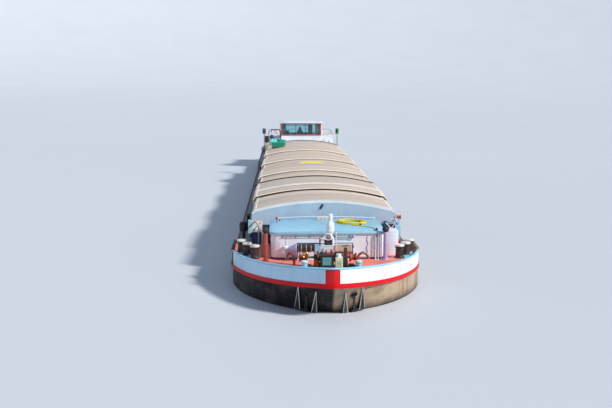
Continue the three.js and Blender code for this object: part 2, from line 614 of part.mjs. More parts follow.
function ropeOnRoof() {
  const { x, y, coil, width, height, radius } = ROPE;
  const lift = 0.0008;
  const ring = new THREE.LatheGeometry([
    [coil - width, 0], [coil + width, 0], [coil + width, height], [coil - width, height], [coil - width, 0]]
    .map(([r, z]) => new THREE.Vector2(r, z)), 28);
  ring.rotateX(Math.PI / 2);
  ring.rotateX(Math.atan2(roofHeight(y + 0.5) - roofHeight(y - 0.5), 1));
  ring.translate(x, y, roofHeight(y) + lift);
  add('rope_coil', 'rope', solid(ring));
  const cleatX = 28.6;
  const cleatY = 2.05;
  const foot = roofHeight(cleatY - 0.04) + GAP;
  add('roof_cleat', 'black', union([
    box(cleatX - 0.05, cleatX + 0.05, cleatY - 0.04, cleatY + 0.04, foot, foot + 0.08),
    box(cleatX - 0.14, cleatX + 0.14, cleatY - 0.025, cleatY + 0.025, foot + 0.05, foot + 0.1)]));
  const route = [
    [cleatX - 0.05 - GAP, cleatY], [28.45, cleatY], [28.14, 2.0], [27.86, 1.86], [27.68, 1.62], [27.6, 1.38], [27.5, 1.2],
    [x + coil + width + 0.03, y], [x + coil + width + GAP, y],
  ];
  add('rope_tail', 'rope', tube(route.map(([px, py]) => [px, py, roofHeight(py) + radius + 0.001]), radius, 8, 26));
}

// Stern
function stern() {
  const finHalf = 0.09;
  const boss = { radius: 0.16, end: SHAFT.station + 0.26 };
  const fin = prism('xz', [[-25.5, 0.02], [-29.2, 0.3], [-29.7, 0.7], [-29.7, 1.58], [-25.5, 1.0]], -finHalf, finHalf);
  const tubeBoss = shaft(boss.end, -27.5, 0, SHAFT.z, boss.radius);
  const bore = shaft(boss.end - 1, boss.end + 0.4, 0, SHAFT.z, holeRadius(SHAFT.radius, FINE), FINE);
  const stockBore = post(RUDDER.stock, 0, 1, 2.2, holeRadius(RUDDER.radius, FINE), FINE);
  const deck = STERN.deck;
  const bollards = [1, -1].flatMap((side) => [[-31.75, 2.5], [-32.2, 2.1]].map(([x, y]) => turned([
    [0, deck - 0.1], [0.15, deck - 0.1], [0.15, deck + 0.4], [0.18, deck + 0.42], [0.18, deck + 0.5], [0, deck + 0.5]],
    x, side * y, 10)));
  const railTop = STERN.deck - RUB_RAIL.top;
  const rubRail = strake(STERN, HOLD.aft - GAP, 0, 0.5, () => railTop - RUB_RAIL.height, () => railTop);
  const body = union([hullStern(), fin, tubeBoss, rubRail, ...bollards]);
  add('hull_aft', 'tar', body.subtract(bore).subtract(stockBore));
  const bulwark = strake(STERN, -26.2, 0.02, 0.06, () => deck + GAP, () => deck + 0.38);
  const capping = strake(STERN, -26.2, 0, 0.12, () => deck + 0.38 - GAP, () => deck + 0.44);
  add('stern_bulwark', 'white', bulwark.add(capping));
}

function propeller() {
  const { z, radius, propeller: tip, station } = SHAFT;
  const hub = shaft(station - 0.2, station + 0.2, 0, z, 0.13, 16);
  const spindle = shaft(station, station + 0.5, 0, z, radius, FINE);
  const blades = [0, 1, 2, 3].map((i) => {
    const outlinePoints = [[0.08, -0.1], [0.3, -0.2], [0.5, -0.2], [tip - 0.04, -0.08], [tip, 0.04], [0.52, 0.2], [0.3, 0.2], [0.08, 0.1]];
    const shape = new THREE.Shape(outlinePoints.map(([u, v]) => new THREE.Vector2(u, v)));
    const blade = new THREE.ExtrudeGeometry(shape, { depth: 0.035, bevelEnabled: false });
    blade.translate(0, 0, -0.0175);
    blade.rotateX(THREE.MathUtils.degToRad(40));
    blade.rotateY(-Math.PI / 2);
    blade.rotateX(THREE.MathUtils.degToRad(45 + 90 * i));
    blade.translate(station, 0, z);
    return solid(blade);
  });
  add('propeller', 'bronze', union([hub, spindle, ...blades]));
}

function rudder() {
  const { stock, radius, low, high } = RUDDER;
  const foil = [[stock + 0.36, 0], [stock + 0.28, 0.05], [stock, 0.08], [stock - 0.45, 0.05], [stock - 0.88, 0.01],
    [stock - 0.88, -0.01], [stock - 0.45, -0.05], [stock, -0.08], [stock + 0.28, -0.05]];
  const blade = prism('xy', foil, low, high);
  add('rudder', 'tar', blade.add(post(stock, 0, high - 0.1, 2.15, radius, FINE)));
}

// Wheelhouse
const WHEELHOUSE_DOOR = { front: -24.0, aft: -24.66, low: 4.2, high: 6.12 };

function wheelhouse() {
  const { front, aft, half, wall, floor, top, roof } = WHEELHOUSE;
  const foot = STERN.deck + GAP;
  const cabin = box(aft, front, -half, half, foot, top);
  const inside = box(aft + wall, front - wall, -half + wall, half - wall, floor, top + 1);
  const frontWindow = box(front - 0.3, front + 0.3, -WINDOW.half, WINDOW.half, WINDOW.low, WINDOW.high);
  const rearWindow = box(aft - 0.3, aft + 0.3, -1.5, 1.5, WINDOW.low + 0.05, WINDOW.high);
  const sideWindows = [[front - 0.82, front - 0.14], [aft + 0.14, WHEELHOUSE_DOOR.aft - 0.14]]
    .map(([x0, x1]) => box(x0, x1, -half - 1, half + 1, WINDOW.low, WINDOW.high));
  const doorways = box(WHEELHOUSE_DOOR.aft, WHEELHOUSE_DOOR.front, -half - 1, half + 1, WHEELHOUSE_DOOR.low, WHEELHOUSE_DOOR.high);
  const steps = [1, -1].flatMap((side) => [0, 1, 2].map((i) => {
    const reach = half + 0.75 - i * 0.24;
    const [y0, y1] = [side * (half - 0.02), side * reach].sort((a, b) => a - b);
    return box(WHEELHOUSE_DOOR.aft - 0.05, WHEELHOUSE_DOOR.front + 0.05, y0, y1, foot, foot + 0.27 * (i + 1));
  }));
  const walls = [inside, frontWindow, rearWindow, ...sideWindows, doorways].reduce((body, cut) => body.subtract(cut), cabin);
  add('wheelhouse', 'white', union([walls, ...steps]));
  const camber = arch({ half: half + 0.12, edge: roof - 0.06, crown: roof });
  add('wheelhouse_roof', 'white', prism('yz', [...camber, [-half - 0.12, top + GAP], [half + 0.12, top + GAP]], aft - 0.12, front + 0.16));
  const border = WINDOW.frame;
  const outer = box(front + GAP, front + 0.05, -WINDOW.half - border, WINDOW.half + border, WINDOW.low - border, WINDOW.high + border);
  const opening = box(front - 1, front + 1, -WINDOW.half, WINDOW.half, WINDOW.low, WINDOW.high);
  add('wheelhouse_window_frame', 'mahogany', outer.subtract(opening));
  add('wheelhouse_glass', 'glass', box(front - 0.05, front - 0.038, -WINDOW.half + GAP, WINDOW.half - GAP, WINDOW.low + GAP, WINDOW.high - GAP));
  const desk = [[front - 0.12, floor + GAP], [front - 0.12, 5.0], [front - 0.3, 5.04], [front - 0.78, 4.94], [front - 0.78, 4.84], [front - 0.6, floor + GAP]];
  const console = prism('xz', desk, -1.1, 1.1);
  const column = box(front - 1.5, front - 1.3, -0.1, 0.1, floor + GAP, 4.6);
  const seat = union([column, box(front - 1.65, front - 1.15, -0.26, 0.26, 4.58, 4.7), box(front - 1.72, front - 1.6, -0.24, 0.24, 4.6, 5.3)]);
  const plinth = box(front - 1.7, front - 0.4, -0.3, 0.3, floor + GAP, floor + 0.04);
  add('wheelhouse_console', 'mahogany', union([console, seat, plinth]));
  for (const [name, side] of [['port', 1], ['starboard', -1]]) {
    add(`wheelhouse_door_${name}`, 'mahogany', doorLeaf({
      hinge: [WHEELHOUSE_DOOR.aft, side * (half + DOOR.barrel + GAP)],
      along: 'x',
      length: WHEELHOUSE_DOOR.front - WHEELHOUSE_DOOR.aft,
      face: side,
      low: WHEELHOUSE_DOOR.low,
      high: WHEELHOUSE_DOOR.high,
      pane: { margin: 0.12, low: WINDOW.low, high: WINDOW.high - 0.1 },
    }));
  }
}

function aftHouse() {
  const { front, aft, half, wall, top, roof } = AFT_HOUSE;
  const foot = STERN.deck + GAP;
  const door = { y0: -1.2, y1: -0.45, low: 3.16, high: 4.66 };
  const shell = box(aft, front, -half, half, foot, top).subtract(box(aft + wall, front - wall, -half + wall, half - wall, foot - 1, top + 1));
  const windows = [-30.1, -28.7, -27.3].map((x) => box(x - 0.45, x + 0.45, -half - 1, half + 1, 3.85, 4.45));
  const rear = box(aft - 0.3, aft + 0.3, 0.5, 2.4, 3.85, 4.45);
  const doorway = box(aft - 0.3, aft + 0.3, door.y0, door.y1, door.low, door.high);
  add('aft_house', 'white', [...windows, rear, doorway].reduce((body, cut) => body.subtract(cut), shell));
  add('aft_house_roof', 'lightBlue', box(aft - 0.12, front + 0.04, -half - 0.08, half + 0.08, top + GAP, roof));
  add('aft_house_door', 'mahogany', doorLeaf({
    hinge: [aft - DOOR.barrel - GAP, door.y0], along: 'y', length: door.y1 - door.y0, face: -1, low: door.low, high: door.high,
  }));
}

// A low casing between hatch and wheelhouse, over the engine.
const CASING = { front: -17.2, aft: -22.68, half: 3.1, top: 3.82 };

const casing = () =>
  add('engine_casing', 'white', box(CASING.aft, CASING.front, -CASING.half, CASING.half, STERN.deck + GAP, CASING.top));

// The fixed end of the hatch carries the dinghy in chocks and, behind it, the socket of the davit.
const DAVIT = { x: -11.3, y: -2.04, radius: 0.06, arm: 0.87, socket: 5.28, pin: 4.88, top: 6.28 };
const DINGHY = { x: -9.5, y: -2.24, length: 2.1, beam: 1.4, depth: 0.45, foot: 4.9 };

function archHeight({ half, edge, crown }, y) {
  const rise = crown - edge;
  const radius = (half ** 2 + rise ** 2) / (2 * rise);
  return crown - radius + Math.sqrt(radius ** 2 - y ** 2);
}

function hatchEnd() {
  const { x, y, foot } = DINGHY;
  const inSheet = (dy) => [y + dy, archHeight(LOW_ARCH, y + dy) - 0.02];
  const profile = [
    ...[-0.5, -0.25, 0, 0.25, 0.5].map(inSheet),
    [y + 0.5, foot + 0.14], [y + 0.3, foot + 0.06], [y - 0.3, foot + 0.06], [y - 0.5, foot + 0.14]];
  const chocks = [x - 0.55, x + 0.55].map((station) =>
    prism('yz', profile, station - 0.04, station + 0.04).subtract(dinghyForm(GAP)));
  const base = archHeight(LOW_ARCH, DAVIT.y) - 0.028;
  const socket = turned([
    [0, base], [0.11, base], [0.11, base + 0.08], [0.1, base + 0.1], [0.1, DAVIT.socket], [0, DAVIT.socket]], DAVIT.x, DAVIT.y);
  const cover = coverBody(LOW_ARCH, COAMING_AFT + GAP, COVERS_END + COVER.lap, [COVERS_END - 0.4, -12.2, COAMING_AFT + 0.07]);
  const bore = post(DAVIT.x, DAVIT.y, DAVIT.pin, 9, holeRadius(DAVIT.radius));
  add('hatch_end_section', 'hatch', union([cover, ...chocks, socket]).subtract(bore));
}

// Sections of the dinghy, whose transom faces forward: share of length from the transom, beam share,
// sheer and keel lift.
const DINGHY_LINES = [
  [0.0, 0.8, 0.0, 0.04],
  [0.3, 0.97, 0.0, 0.0],
  [0.6, 0.96, 0.02, 0.0],
  [0.85, 0.66, 0.07, 0.08],
  [1.0, 0.2, 0.12, 0.24],
];

function dinghyForm(grow) {
  const { x, y, length, beam, depth, foot } = DINGHY;
  return loft(DINGHY_LINES.map(([share, breadth, sheer, keel]) => {
    const half = (beam / 2) * breadth + grow;
    const low = foot + keel - grow;
    const high = foot + depth + sheer;
    const station = x + length / 2 + grow - (length + 2 * grow) * share;
    return [[half, high], [half * 0.94, blend(low, high, 0.4)], [half * 0.55, low], [-half * 0.55, low],
      [-half * 0.94, blend(low, high, 0.4)], [-half, high]].map(([dy, z]) => [station, y + dy, z]);
  }));
}

function dinghy() {
  const { x, y, foot } = DINGHY;
  const lift = new THREE.Matrix4().makeTranslation(0, 0, 0.05);
  const inner = dinghyForm(-0.05).transform(lift.elements);
  const thwarts = [x - 0.3, x + 0.45].map((station) =>
    box(station - 0.1, station + 0.1, y - 0.68, y + 0.68, foot + 0.28, foot + 0.32));
  const seats = union(thwarts).intersect(dinghyForm(0));
  add('dinghy', 'dinghy', dinghyForm(0).subtract(inner).add(seats));
}

function davit() {
  const { x, y, radius, arm, socket, pin, top } = DAVIT;
  const column = post(x, y, pin + GAP, top, radius);
  const collar = post(x, y, socket + GAP, socket + 0.05, 0.1);
  const jib = box(x - 0.04, x + 0.04, y - arm, y + 0.06, top - 0.08, top);
  const brace = prism('yz', [[y - 0.02, top - 0.6], [y - 0.6, top - 0.04], [y - 0.66, top - 0.04], [y - 0.02, top - 0.68]], x - 0.025, x + 0.025);
  const sheave = turned([[0, top - 0.2], [0.04, top - 0.2], [0.05, top - 0.05], [0, top - 0.05]], x, y - arm + 0.06);
  add('davit', 'white', union([column, collar, jib, brace, sheave]));
}

function lightBoard(name, finish, side) {
  const x = -24.6;
  const y = side * 3.75;
  const foot = STERN.deck + GAP;
  const board = box(x - 0.3, x + 0.26, Math.min(y, y + side * 0.03), Math.max(y, y + side * 0.03), 5.1, 5.64);
  const back = box(x - 0.3, x - 0.26, y - 0.17, y + 0.17, 5.1, 5.64);
  const plate = box(x - 0.4, x - 0.16, y - 0.1, y + 0.1, foot, foot + 0.04);
  add(name, finish, union([post(x - 0.28, y, foot, 5.4, 0.035), board, back, plate]));
}

hull();
bowTrim();
foredeck();
coaming();
hatchCovers();
hatchEnd();
bowHouse();
bollardGroup('bow_bollards_port', 1);
bollardGroup('bow_bollards_starboard', -1);
bitts();
windlass();
deckRacks();
foremast();
ventPost('vent_post_port', 28.95, 2.38);
ventPost('vent_post_starboard', 29.16, -2.56);
anchor('anchor_port', 0.77);
anchor('anchor_starboard', -0.95);
ropeOnRoof();
stern();
propeller();
rudder();
wheelhouse();
aftHouse();
casing();
dinghy();
davit();
lightBoard('light_board_port', 'green', 1);
lightBoard('light_board_starboard', 'deckGrey', -1);

barge.scale.setScalar(MODEL_MM_PER_METRE);

export default barge;
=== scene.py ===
from math import asin, atan2, copysign, cos, pi, radians, sin, sqrt

import bmesh
import bpy
from bpy.props import FloatProperty, FloatVectorProperty, IntProperty, PointerProperty
from mathutils import Matrix, Vector


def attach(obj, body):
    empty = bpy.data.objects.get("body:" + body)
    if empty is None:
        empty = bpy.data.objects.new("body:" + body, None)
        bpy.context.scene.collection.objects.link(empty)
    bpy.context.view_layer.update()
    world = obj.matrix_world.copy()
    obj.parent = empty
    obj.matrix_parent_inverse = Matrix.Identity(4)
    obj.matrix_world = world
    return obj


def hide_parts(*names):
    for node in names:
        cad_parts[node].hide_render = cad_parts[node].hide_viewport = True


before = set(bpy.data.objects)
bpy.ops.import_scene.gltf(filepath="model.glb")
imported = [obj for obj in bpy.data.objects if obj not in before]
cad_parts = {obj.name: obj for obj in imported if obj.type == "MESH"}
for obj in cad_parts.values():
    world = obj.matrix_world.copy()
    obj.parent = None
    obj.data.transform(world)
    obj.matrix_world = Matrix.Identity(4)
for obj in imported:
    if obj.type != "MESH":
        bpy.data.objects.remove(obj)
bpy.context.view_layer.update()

bl_info = {
    "name": "River barge",
    "version": (1, 0, 0),
    "blender": (4, 5, 0),
    "location": "View3D > Sidebar > Barge",
    "description": "Builds the looks of a river barge around its packed parts",
    "category": "Object",
}

SCALE = 0.5
HULL = "barge_hull"

# Sizes shared with the part's source
GAP = 0.0006
RUNNING_GAP = 0.011
TIP = 33.5
BEAM_HALF = 4.1
HOLD_FRONT, HOLD_AFT = 25.1, -16.0
SIDE_DECK, RAMP = 2.62, 3.0
WATERLINE = 1.7
BOW = {"half": BEAM_HALF, "shoulder": 26.98, "tip": TIP, "exponent": 1.456}
STERN = {"half": BEAM_HALF, "shoulder": -27.5, "tip": -TIP, "exponent": 2.3}
RIM, STEM_RIM, DECK, STEM_DECK, DECK_RISE, STERN_DECK = 3.12, 3.6, 3.0, 3.36, 30.3, 3.05
PLATE = 0.03
BAND_INSET, BULWARK = 0.04, 0.08
COAMING_TOP, COAMING_FRONT, COAMING_AFT = 3.93, 25.2, -16.1
LOW_ARCH = (3.26, 4.53, 4.98)
HIGH_ARCH = (3.35, 4.63, 5.08)
LAP = 0.35
PAINT_END = 27.6
SEAT_TOP = 3.24
COVER_PAIRS = [(COAMING_FRONT, 21.2), (15.7, 11.75), (7.8, 3.85), (-0.1, -4.05)]
COVERS_END = -8.0
HOUSE_AFT, HOUSE_FRONT, HOUSE_HALF, HOUSE_CORNER = 25.6, 28.78, 2.35, 0.3
ROOF_EDGE, ROOF_CROWN = 4.17, 4.24
CABIN_FRONT, CABIN_AFT, CABIN_HALF, CABIN_TOP, CABIN_ROOF = -23.0, -25.62, 2.08, 6.26, 6.4
WINDOW_LOW, WINDOW_HIGH = 5.14, 6.14
AFT_FRONT, AFT_END, AFT_HALF = -25.7, -31.0, 3.35
SHAFT_Z, SCREW_X, SCREW_RADIUS = 0.86, -30.25, 0.66
RUDDER_STOCK = -31.35
MAST_X, MAST_PIN, MAST_TOP = 30.75, 3.42, 5.24
WINDLASS_X, WINDLASS_Z = 31.55, 3.68
DAVIT_X, DAVIT_Y, DAVIT_ARM = -11.3, -2.04, 0.87
DINGHY_X, DINGHY_Y, DINGHY_LENGTH, DINGHY_BEAM, DINGHY_DEPTH, DINGHY_FOOT = -9.5, -2.24, 2.1, 1.4, 0.45, 4.9
ON_DECK = DECK + PLATE + GAP

# The photograph's camera: its place, its turn and dip in radians, its focal length and width in pixels
CAMERA_AT = (63.774, -1.839, 10.272)
CAMERA_TURN, CAMERA_DIP = 0.02692, 0.13985
FOCAL_PIXELS, PHOTO_WIDTH, SENSOR = 860.0, 612.0, 36.0

# Specular level of paint that has gone dull
DULL = 0.22


def linear(*shown):
    """Screen colour, 0 to 255, as the linear colour that shaders take."""
    return [c / 3294.6 if c <= 10 else ((c / 255 + 0.055) / 1.055) ** 2.4 for c in shown]


def tint(label, about, *shown):
    return FloatVectorProperty(
        name=label, description=about, subtype="COLOR", size=3, min=0.0, max=1.0, default=linear(*shown))


def length(label, about, default, low, high):
    return FloatProperty(name=label, description=about, default=default, min=low, max=high, unit="LENGTH")


class BargeColours(bpy.types.PropertyGroup):
    """Paints and finishes."""
    tar: tint("Hull tar", "Tarred shell plating", 24, 24, 31)
    # Pale colour of the port side: a dusty coat together with a painted sunlit sheen.
    port_dust_and_sheen: tint("Hull dust", "Dust dried on the tar to port", 176, 154, 130)
    white: tint("Bow white", "Band round the bow and the bulwark aft", 240, 241, 243)
    red: tint("Belt red", "Rubbing belt and stem stripe", 208, 0, 20)
    rail: tint("Rail blue", "Top rail and bitts", 146, 210, 236)
    salmon: tint("Deck salmon", "Foredeck paint", 248, 136, 118)
    house: tint("House white", "Deckhouse walls", 236, 237, 246)
    roof: tint("Roof blue", "Deckhouse roofs", 154, 206, 230)
    navy: tint("Coaming navy", "Coamings, stays and racks", 32, 62, 112)
    hatch: tint("Hatch beige", "Weathered hatch sheets", 212, 195, 178)
    board: tint("Board blue-grey", "Front board of the hatch", 174, 199, 218)
    rust: tint("Rust", "Bare and rusted iron", 150, 84, 50)
    mahogany: tint("Mahogany", "Window frames, doors and desk", 204, 88, 46)
    rope: tint("Rope yellow", "Mooring rope", 242, 220, 30)
    dinghy: tint("Dinghy green", "Dinghy hull", 18, 136, 110)


class BargeSizes(bpy.types.PropertyGroup):
    """Fineness and small sizes, on the full-size vessel."""
    bow_steps: IntProperty(name="Bow steps", description="Steps along each side of an end", default=56,
        min=16, max=120)
    arch_steps: IntProperty(name="Arch steps", description="Facets across a hatch cover", default=48, min=12,
        max=96)
    rope: length("Rope", "Diameter of the mooring rope", 0.04, 0.02, 0.06)
    stripe: length("Stem stripe", "Half the width of the red stem stripe", 0.27, 0.0, 1.0)
    stripe_shift: length("Stripe shift", "How far the stem stripe stands to port", -0.045, -0.5, 0.5)
    shoulder: length("Hatch shoulder", "Rounding where a cover's arch meets its skirt", 0.12, 0.0, 0.3)


class BargeLight(bpy.types.PropertyGroup):
    """Studio light."""
    key: FloatProperty(name="Key", description="Strength of the soft key light", default=4.0, min=0.0,
        max=10.0)
    fill: FloatProperty(name="Fill", description="Strength of the light all round", default=0.42, min=0.0,
        max=3.0)
    bearing: FloatProperty(
        name="Bearing", description="Key light's bearing to port of ahead", subtype="ANGLE",
        default=radians(60))
    height: FloatProperty(
        name="Height", description="Key light's height above the floor", subtype="ANGLE", default=radians(36))


# Shader nodes
class Net:
    """Adds nodes to one tree. An input is a value or another node's output."""

    def __init__(self, tree):
        self.tree = tree

    def feed(self, socket, value):
        if isinstance(value, bpy.types.NodeSocket):
            self.tree.links.new(value, socket)
        elif value is not None:
            if socket.type == "RGBA" and len(value) == 3:
                value = (*value, 1.0)
            socket.default_value = value

    def put(self, kind, inputs=None, out=0, **settings):
        node = self.tree.nodes.new("ShaderNode" + kind)
        for key, value in settings.items():
            setattr(node, key, value)
        for key, value in (inputs or {}).items():
            self.feed(node.inputs[key], value)
        return node.outputs[out]

    def math(self, operation, a, b=0.5, clamp=False):
        return self.put("Math", {0: a, 1: b}, operation=operation, use_clamp=clamp)

    def times(self, a, b, clamp=False):
        return self.math("MULTIPLY", a, b, clamp)

    def plus(self, a, b, clamp=False):
        return self.math("ADD", a, b, clamp)

    def mix(self, share, a, b, blend="MIX"):
        return self.put("Mix", {0: share, 6: a, 7: b}, out=2, data_type="RGBA", blend_type=blend)

    def span(self, value, low, high, start=0.0, end=1.0):
        """Share of the way from low to high, eased at both ends, as a value from start to end."""
        return self.put("MapRange", {0: value, 1: low, 2: high, 3: start, 4: end},
            interpolation_type="SMOOTHSTEP")

    def stretch(self, vector, *scale):
        return self.put("VectorMath", {0: vector, 1: scale}, operation="MULTIPLY")

    def noise(self, vector, scale, detail=3.0, rough=0.5):
        return self.put("TexNoise", {"Vector": vector, "Scale": scale, "Detail": detail, "Roughness": rough})

    def part(self, vector, which):
        return self.put("SeparateXYZ", {0: vector}, out=which)

    def all_of(self, *masks):
        whole = masks[0]
        for mask in masks[1:]:
            whole = self.times(whole, mask)
        return whole

    def within(self, value, low, high):
        """1 between low and high, else 0."""
        return self.all_of(self.math("GREATER_THAN", value, low), self.math("LESS_THAN", value, high))

    def spot(self, place, centre, reach, ragged):
        """A ragged patch on the XY plane round a centre: 1 inside, 0 outside."""
        shares = [self.math("POWER",
            self.math("DIVIDE", self.math("SUBTRACT", self.part(place, i), centre[i]), reach[i]), 2.0)
            for i in (0, 1)]
        distance = self.math("POWER", self.plus(*shares), 0.5)
        return self.span(self.plus(distance, ragged), 0.8, 1.0, 1.0, 0.0)


def effect(name, inputs, outputs, build):
    """A shader node group with named inputs and outputs."""
    tree = bpy.data.node_groups.new(name, "ShaderNodeTree")
    kinds = {"vector": "NodeSocketVector", "colour": "NodeSocketColor", "value": "NodeSocketFloat"}
    for label, kind, default in inputs:
        socket = tree.interface.new_socket(name=label, in_out="INPUT", socket_type=kinds[kind])
        if default is not None:
            socket.default_value = (*default, 1.0) if kind == "colour" else default
    for label, kind in outputs:
        tree.interface.new_socket(name=label, in_out="OUTPUT", socket_type=kinds[kind])
    source = tree.nodes.new("NodeGroupInput")
    sink = tree.nodes.new("NodeGroupOutput")
    net = Net(tree)
    for label, value in build(net, source.outputs).items():
        tree.links.new(value, sink.inputs[label])
    return tree


def build_weathering(net, given):
    """Paint outdoors: uneven tone, runs of dirt below edges, and chips down to rust."""
    place = given["Place"]
    tone = net.span(net.noise(place, 1.3, 5, 0.6), 0.3, 0.7, 0.92, 1.06)
    paint = net.mix(1.0, given["Paint"], net.put("CombineXYZ", {0: tone, 1: tone, 2: tone}), "MULTIPLY")
    runs = net.span(net.noise(net.stretch(place, 11, 11, 0.9), 1.0, 4, 0.6), 0.5, 0.74)
    cloud = net.span(net.noise(place, 2.3, 3, 0.5), 0.42, 0.62)
    grime = net.times(net.math("MAXIMUM", runs, net.times(cloud, 0.45)), given["Dirt amount"])
    soiled = net.mix(grime, paint, given["Dirt"])
    patches = net.span(net.noise(place, 1.7, 2, 0.5), 0.5, 0.66)
    flakes = net.span(net.noise(place, 26, 6, 0.68), 0.6, 0.64)
    bare = net.times(net.times(patches, flakes), given["Chip amount"], clamp=True)
    gloss = net.plus(given["Roughness"], net.times(grime, 0.25))
    gloss = net.plus(gloss, net.times(bare, 0.3), clamp=True)
    skin = net.times(net.noise(place, 90, 2, 0.5), 0.25)
    height = net.math("SUBTRACT", skin, net.times(bare, 0.8))
    return {"Colour": net.mix(bare, soiled, given["Bare"]), "Roughness": gloss, "Height": height}


def build_plating(net, given):
    """Steel plates: weld seams at a pitch along X and one along Z, with the shallow dents between frames."""
    place = given["Place"]
    along = net.math("DIVIDE", net.part(place, 0), given["Pitch"])
    near = net.math("ABSOLUTE", net.math("SUBTRACT", net.math("FRACT", along), 0.5))
    bead = net.span(net.times(near, given["Pitch"]), 0.0, 0.02, 1.0, 0.0)
    strake = net.math("ABSOLUTE", net.math("SUBTRACT", net.part(place, 2), given["Strake"]))
    seam = net.math("MAXIMUM", bead, net.span(strake, 0.0, 0.016, 1.0, 0.0))
    dents = net.noise(net.stretch(place, 1.6, 1.6, 2.4), 1.0, 1, 0.4)
    height = net.plus(net.times(seam, 0.5), net.times(dents, given["Dents"]))
    return {"Height": height, "Seam": seam}


def build_timber(net, given):
    """Varnished wood: grain drawn out along the widest run of the board."""
    drawn = net.put("VectorMath", {0: given["Place"], 1: given["Draw"]}, operation="MULTIPLY")
    rings = net.noise(drawn, 9, 6, 0.62)
    pores = net.noise(drawn, 60, 3, 0.6)
    share = net.plus(net.span(rings, 0.32, 0.68), net.times(pores, 0.25), clamp=True)
    return {
        "Colour": net.mix(share, given["Dark"], given["Light"]),
        "Roughness": net.span(pores, 0.3, 0.7, 0.22, 0.42),
        "Height": net.plus(net.times(rings, 0.4), net.times(pores, 0.2)),
    }


def build_tread(net, given):
    """Anti-slip deck: fine grit in the paint, worn along the walked ways."""
    grit = net.put("TexVoronoi", {"Vector": given["Place"], "Scale": 55.0})
    worn = net.span(net.noise(net.stretch(given["Place"], 0.8, 1.6, 1.0), 2.0, 4, 0.6), 0.5, 0.68)
    return {"Worn": net.times(worn, given["Wear"]), "Height": net.span(grit, 0.0, 0.6, 0.6, 0.0)}


EFFECTS = {}


def make_effects():
    place = ("Place", "vector", None)
    EFFECTS["weathering"] = effect("Weathered paint", [
        place, ("Paint", "colour", (0.8, 0.8, 0.8)), ("Dirt", "colour", (0.1, 0.09, 0.08)),
        ("Bare", "colour", (0.2, 0.07, 0.03)), ("Dirt amount", "value", 0.3), ("Chip amount", "value", 0.3),
        ("Roughness", "value", 0.4)],
        [("Colour", "colour"), ("Roughness", "value"), ("Height", "value")], build_weathering)
    EFFECTS["plating"] = effect("Steel plating", [
        place, ("Pitch", "value", 3.0), ("Strake", "value", 1.15), ("Dents", "value", 1.0)],
        [("Height", "value"), ("Seam", "value")], build_plating)
    EFFECTS["timber"] = effect("Varnished timber", [
        place, ("Draw", "vector", (1.0, 12.0, 12.0)), ("Dark", "colour", (0.1, 0.02, 0.01)),
        ("Light", "colour", (0.3, 0.08, 0.03))],
        [("Colour", "colour"), ("Roughness", "value"), ("Height", "value")], build_timber)
    EFFECTS["tread"] = effect("Anti-slip deck", [place, ("Wear", "value", 0.5)],
        [("Worn", "value"), ("Height", "value")], build_tread)


class Finish:
    """A material under way: its Principled shader, its net and its object coordinates."""

    def __init__(self, name, **plain):
        self.material = bpy.data.materials.new(name)
        self.material.use_nodes = True
        self.net = Net(self.material.node_tree)
        self.shader = self.material.node_tree.nodes["Principled BSDF"]
        self.place = self.net.put("TexCoord", out="Object")
        for label, value in plain.items():
            self.net.feed(self.shader.inputs[label.replace("_", " ")], value)

    def use(self, name, **inputs):
        node = self.net.tree.nodes.new("ShaderNodeGroup")
        node.node_tree = EFFECTS[name]
        for label, value in {"Place": self.place, **inputs}.items():
            self.net.feed(node.inputs[label.replace("_", " ")], value)
        return node.outputs

    def done(self, colour=None, roughness=None, height=None, depth=0.004, strength=0.6):
        for label, value in (("Base Color", colour), ("Roughness", roughness)):
            self.net.feed(self.shader.inputs[label], value)
        if height is not None:
            bump = {"Height": height, "Distance": depth, "Strength": strength}
            self.net.feed(self.shader.inputs["Normal"], self.net.put("Bump", bump))
        return self.material


def paint(name, colour, rough=0.42, dirt=0.3, chips=0.25, soil=(92, 82, 70), bare=(112, 52, 30), coat=0.15,
        depth=0.003):
    """Weathered paint in one colour."""
    finish = Finish(name, Coat_Weight=coat, Coat_Roughness=0.25)
    worn = finish.use("weathering", Paint=colour, Dirt=linear(*soil), Bare=linear(*bare), Dirt_amount=dirt,
        Chip_amount=chips, Roughness=rough)
    return finish.done(worn["Colour"], worn["Roughness"], worn["Height"], depth)


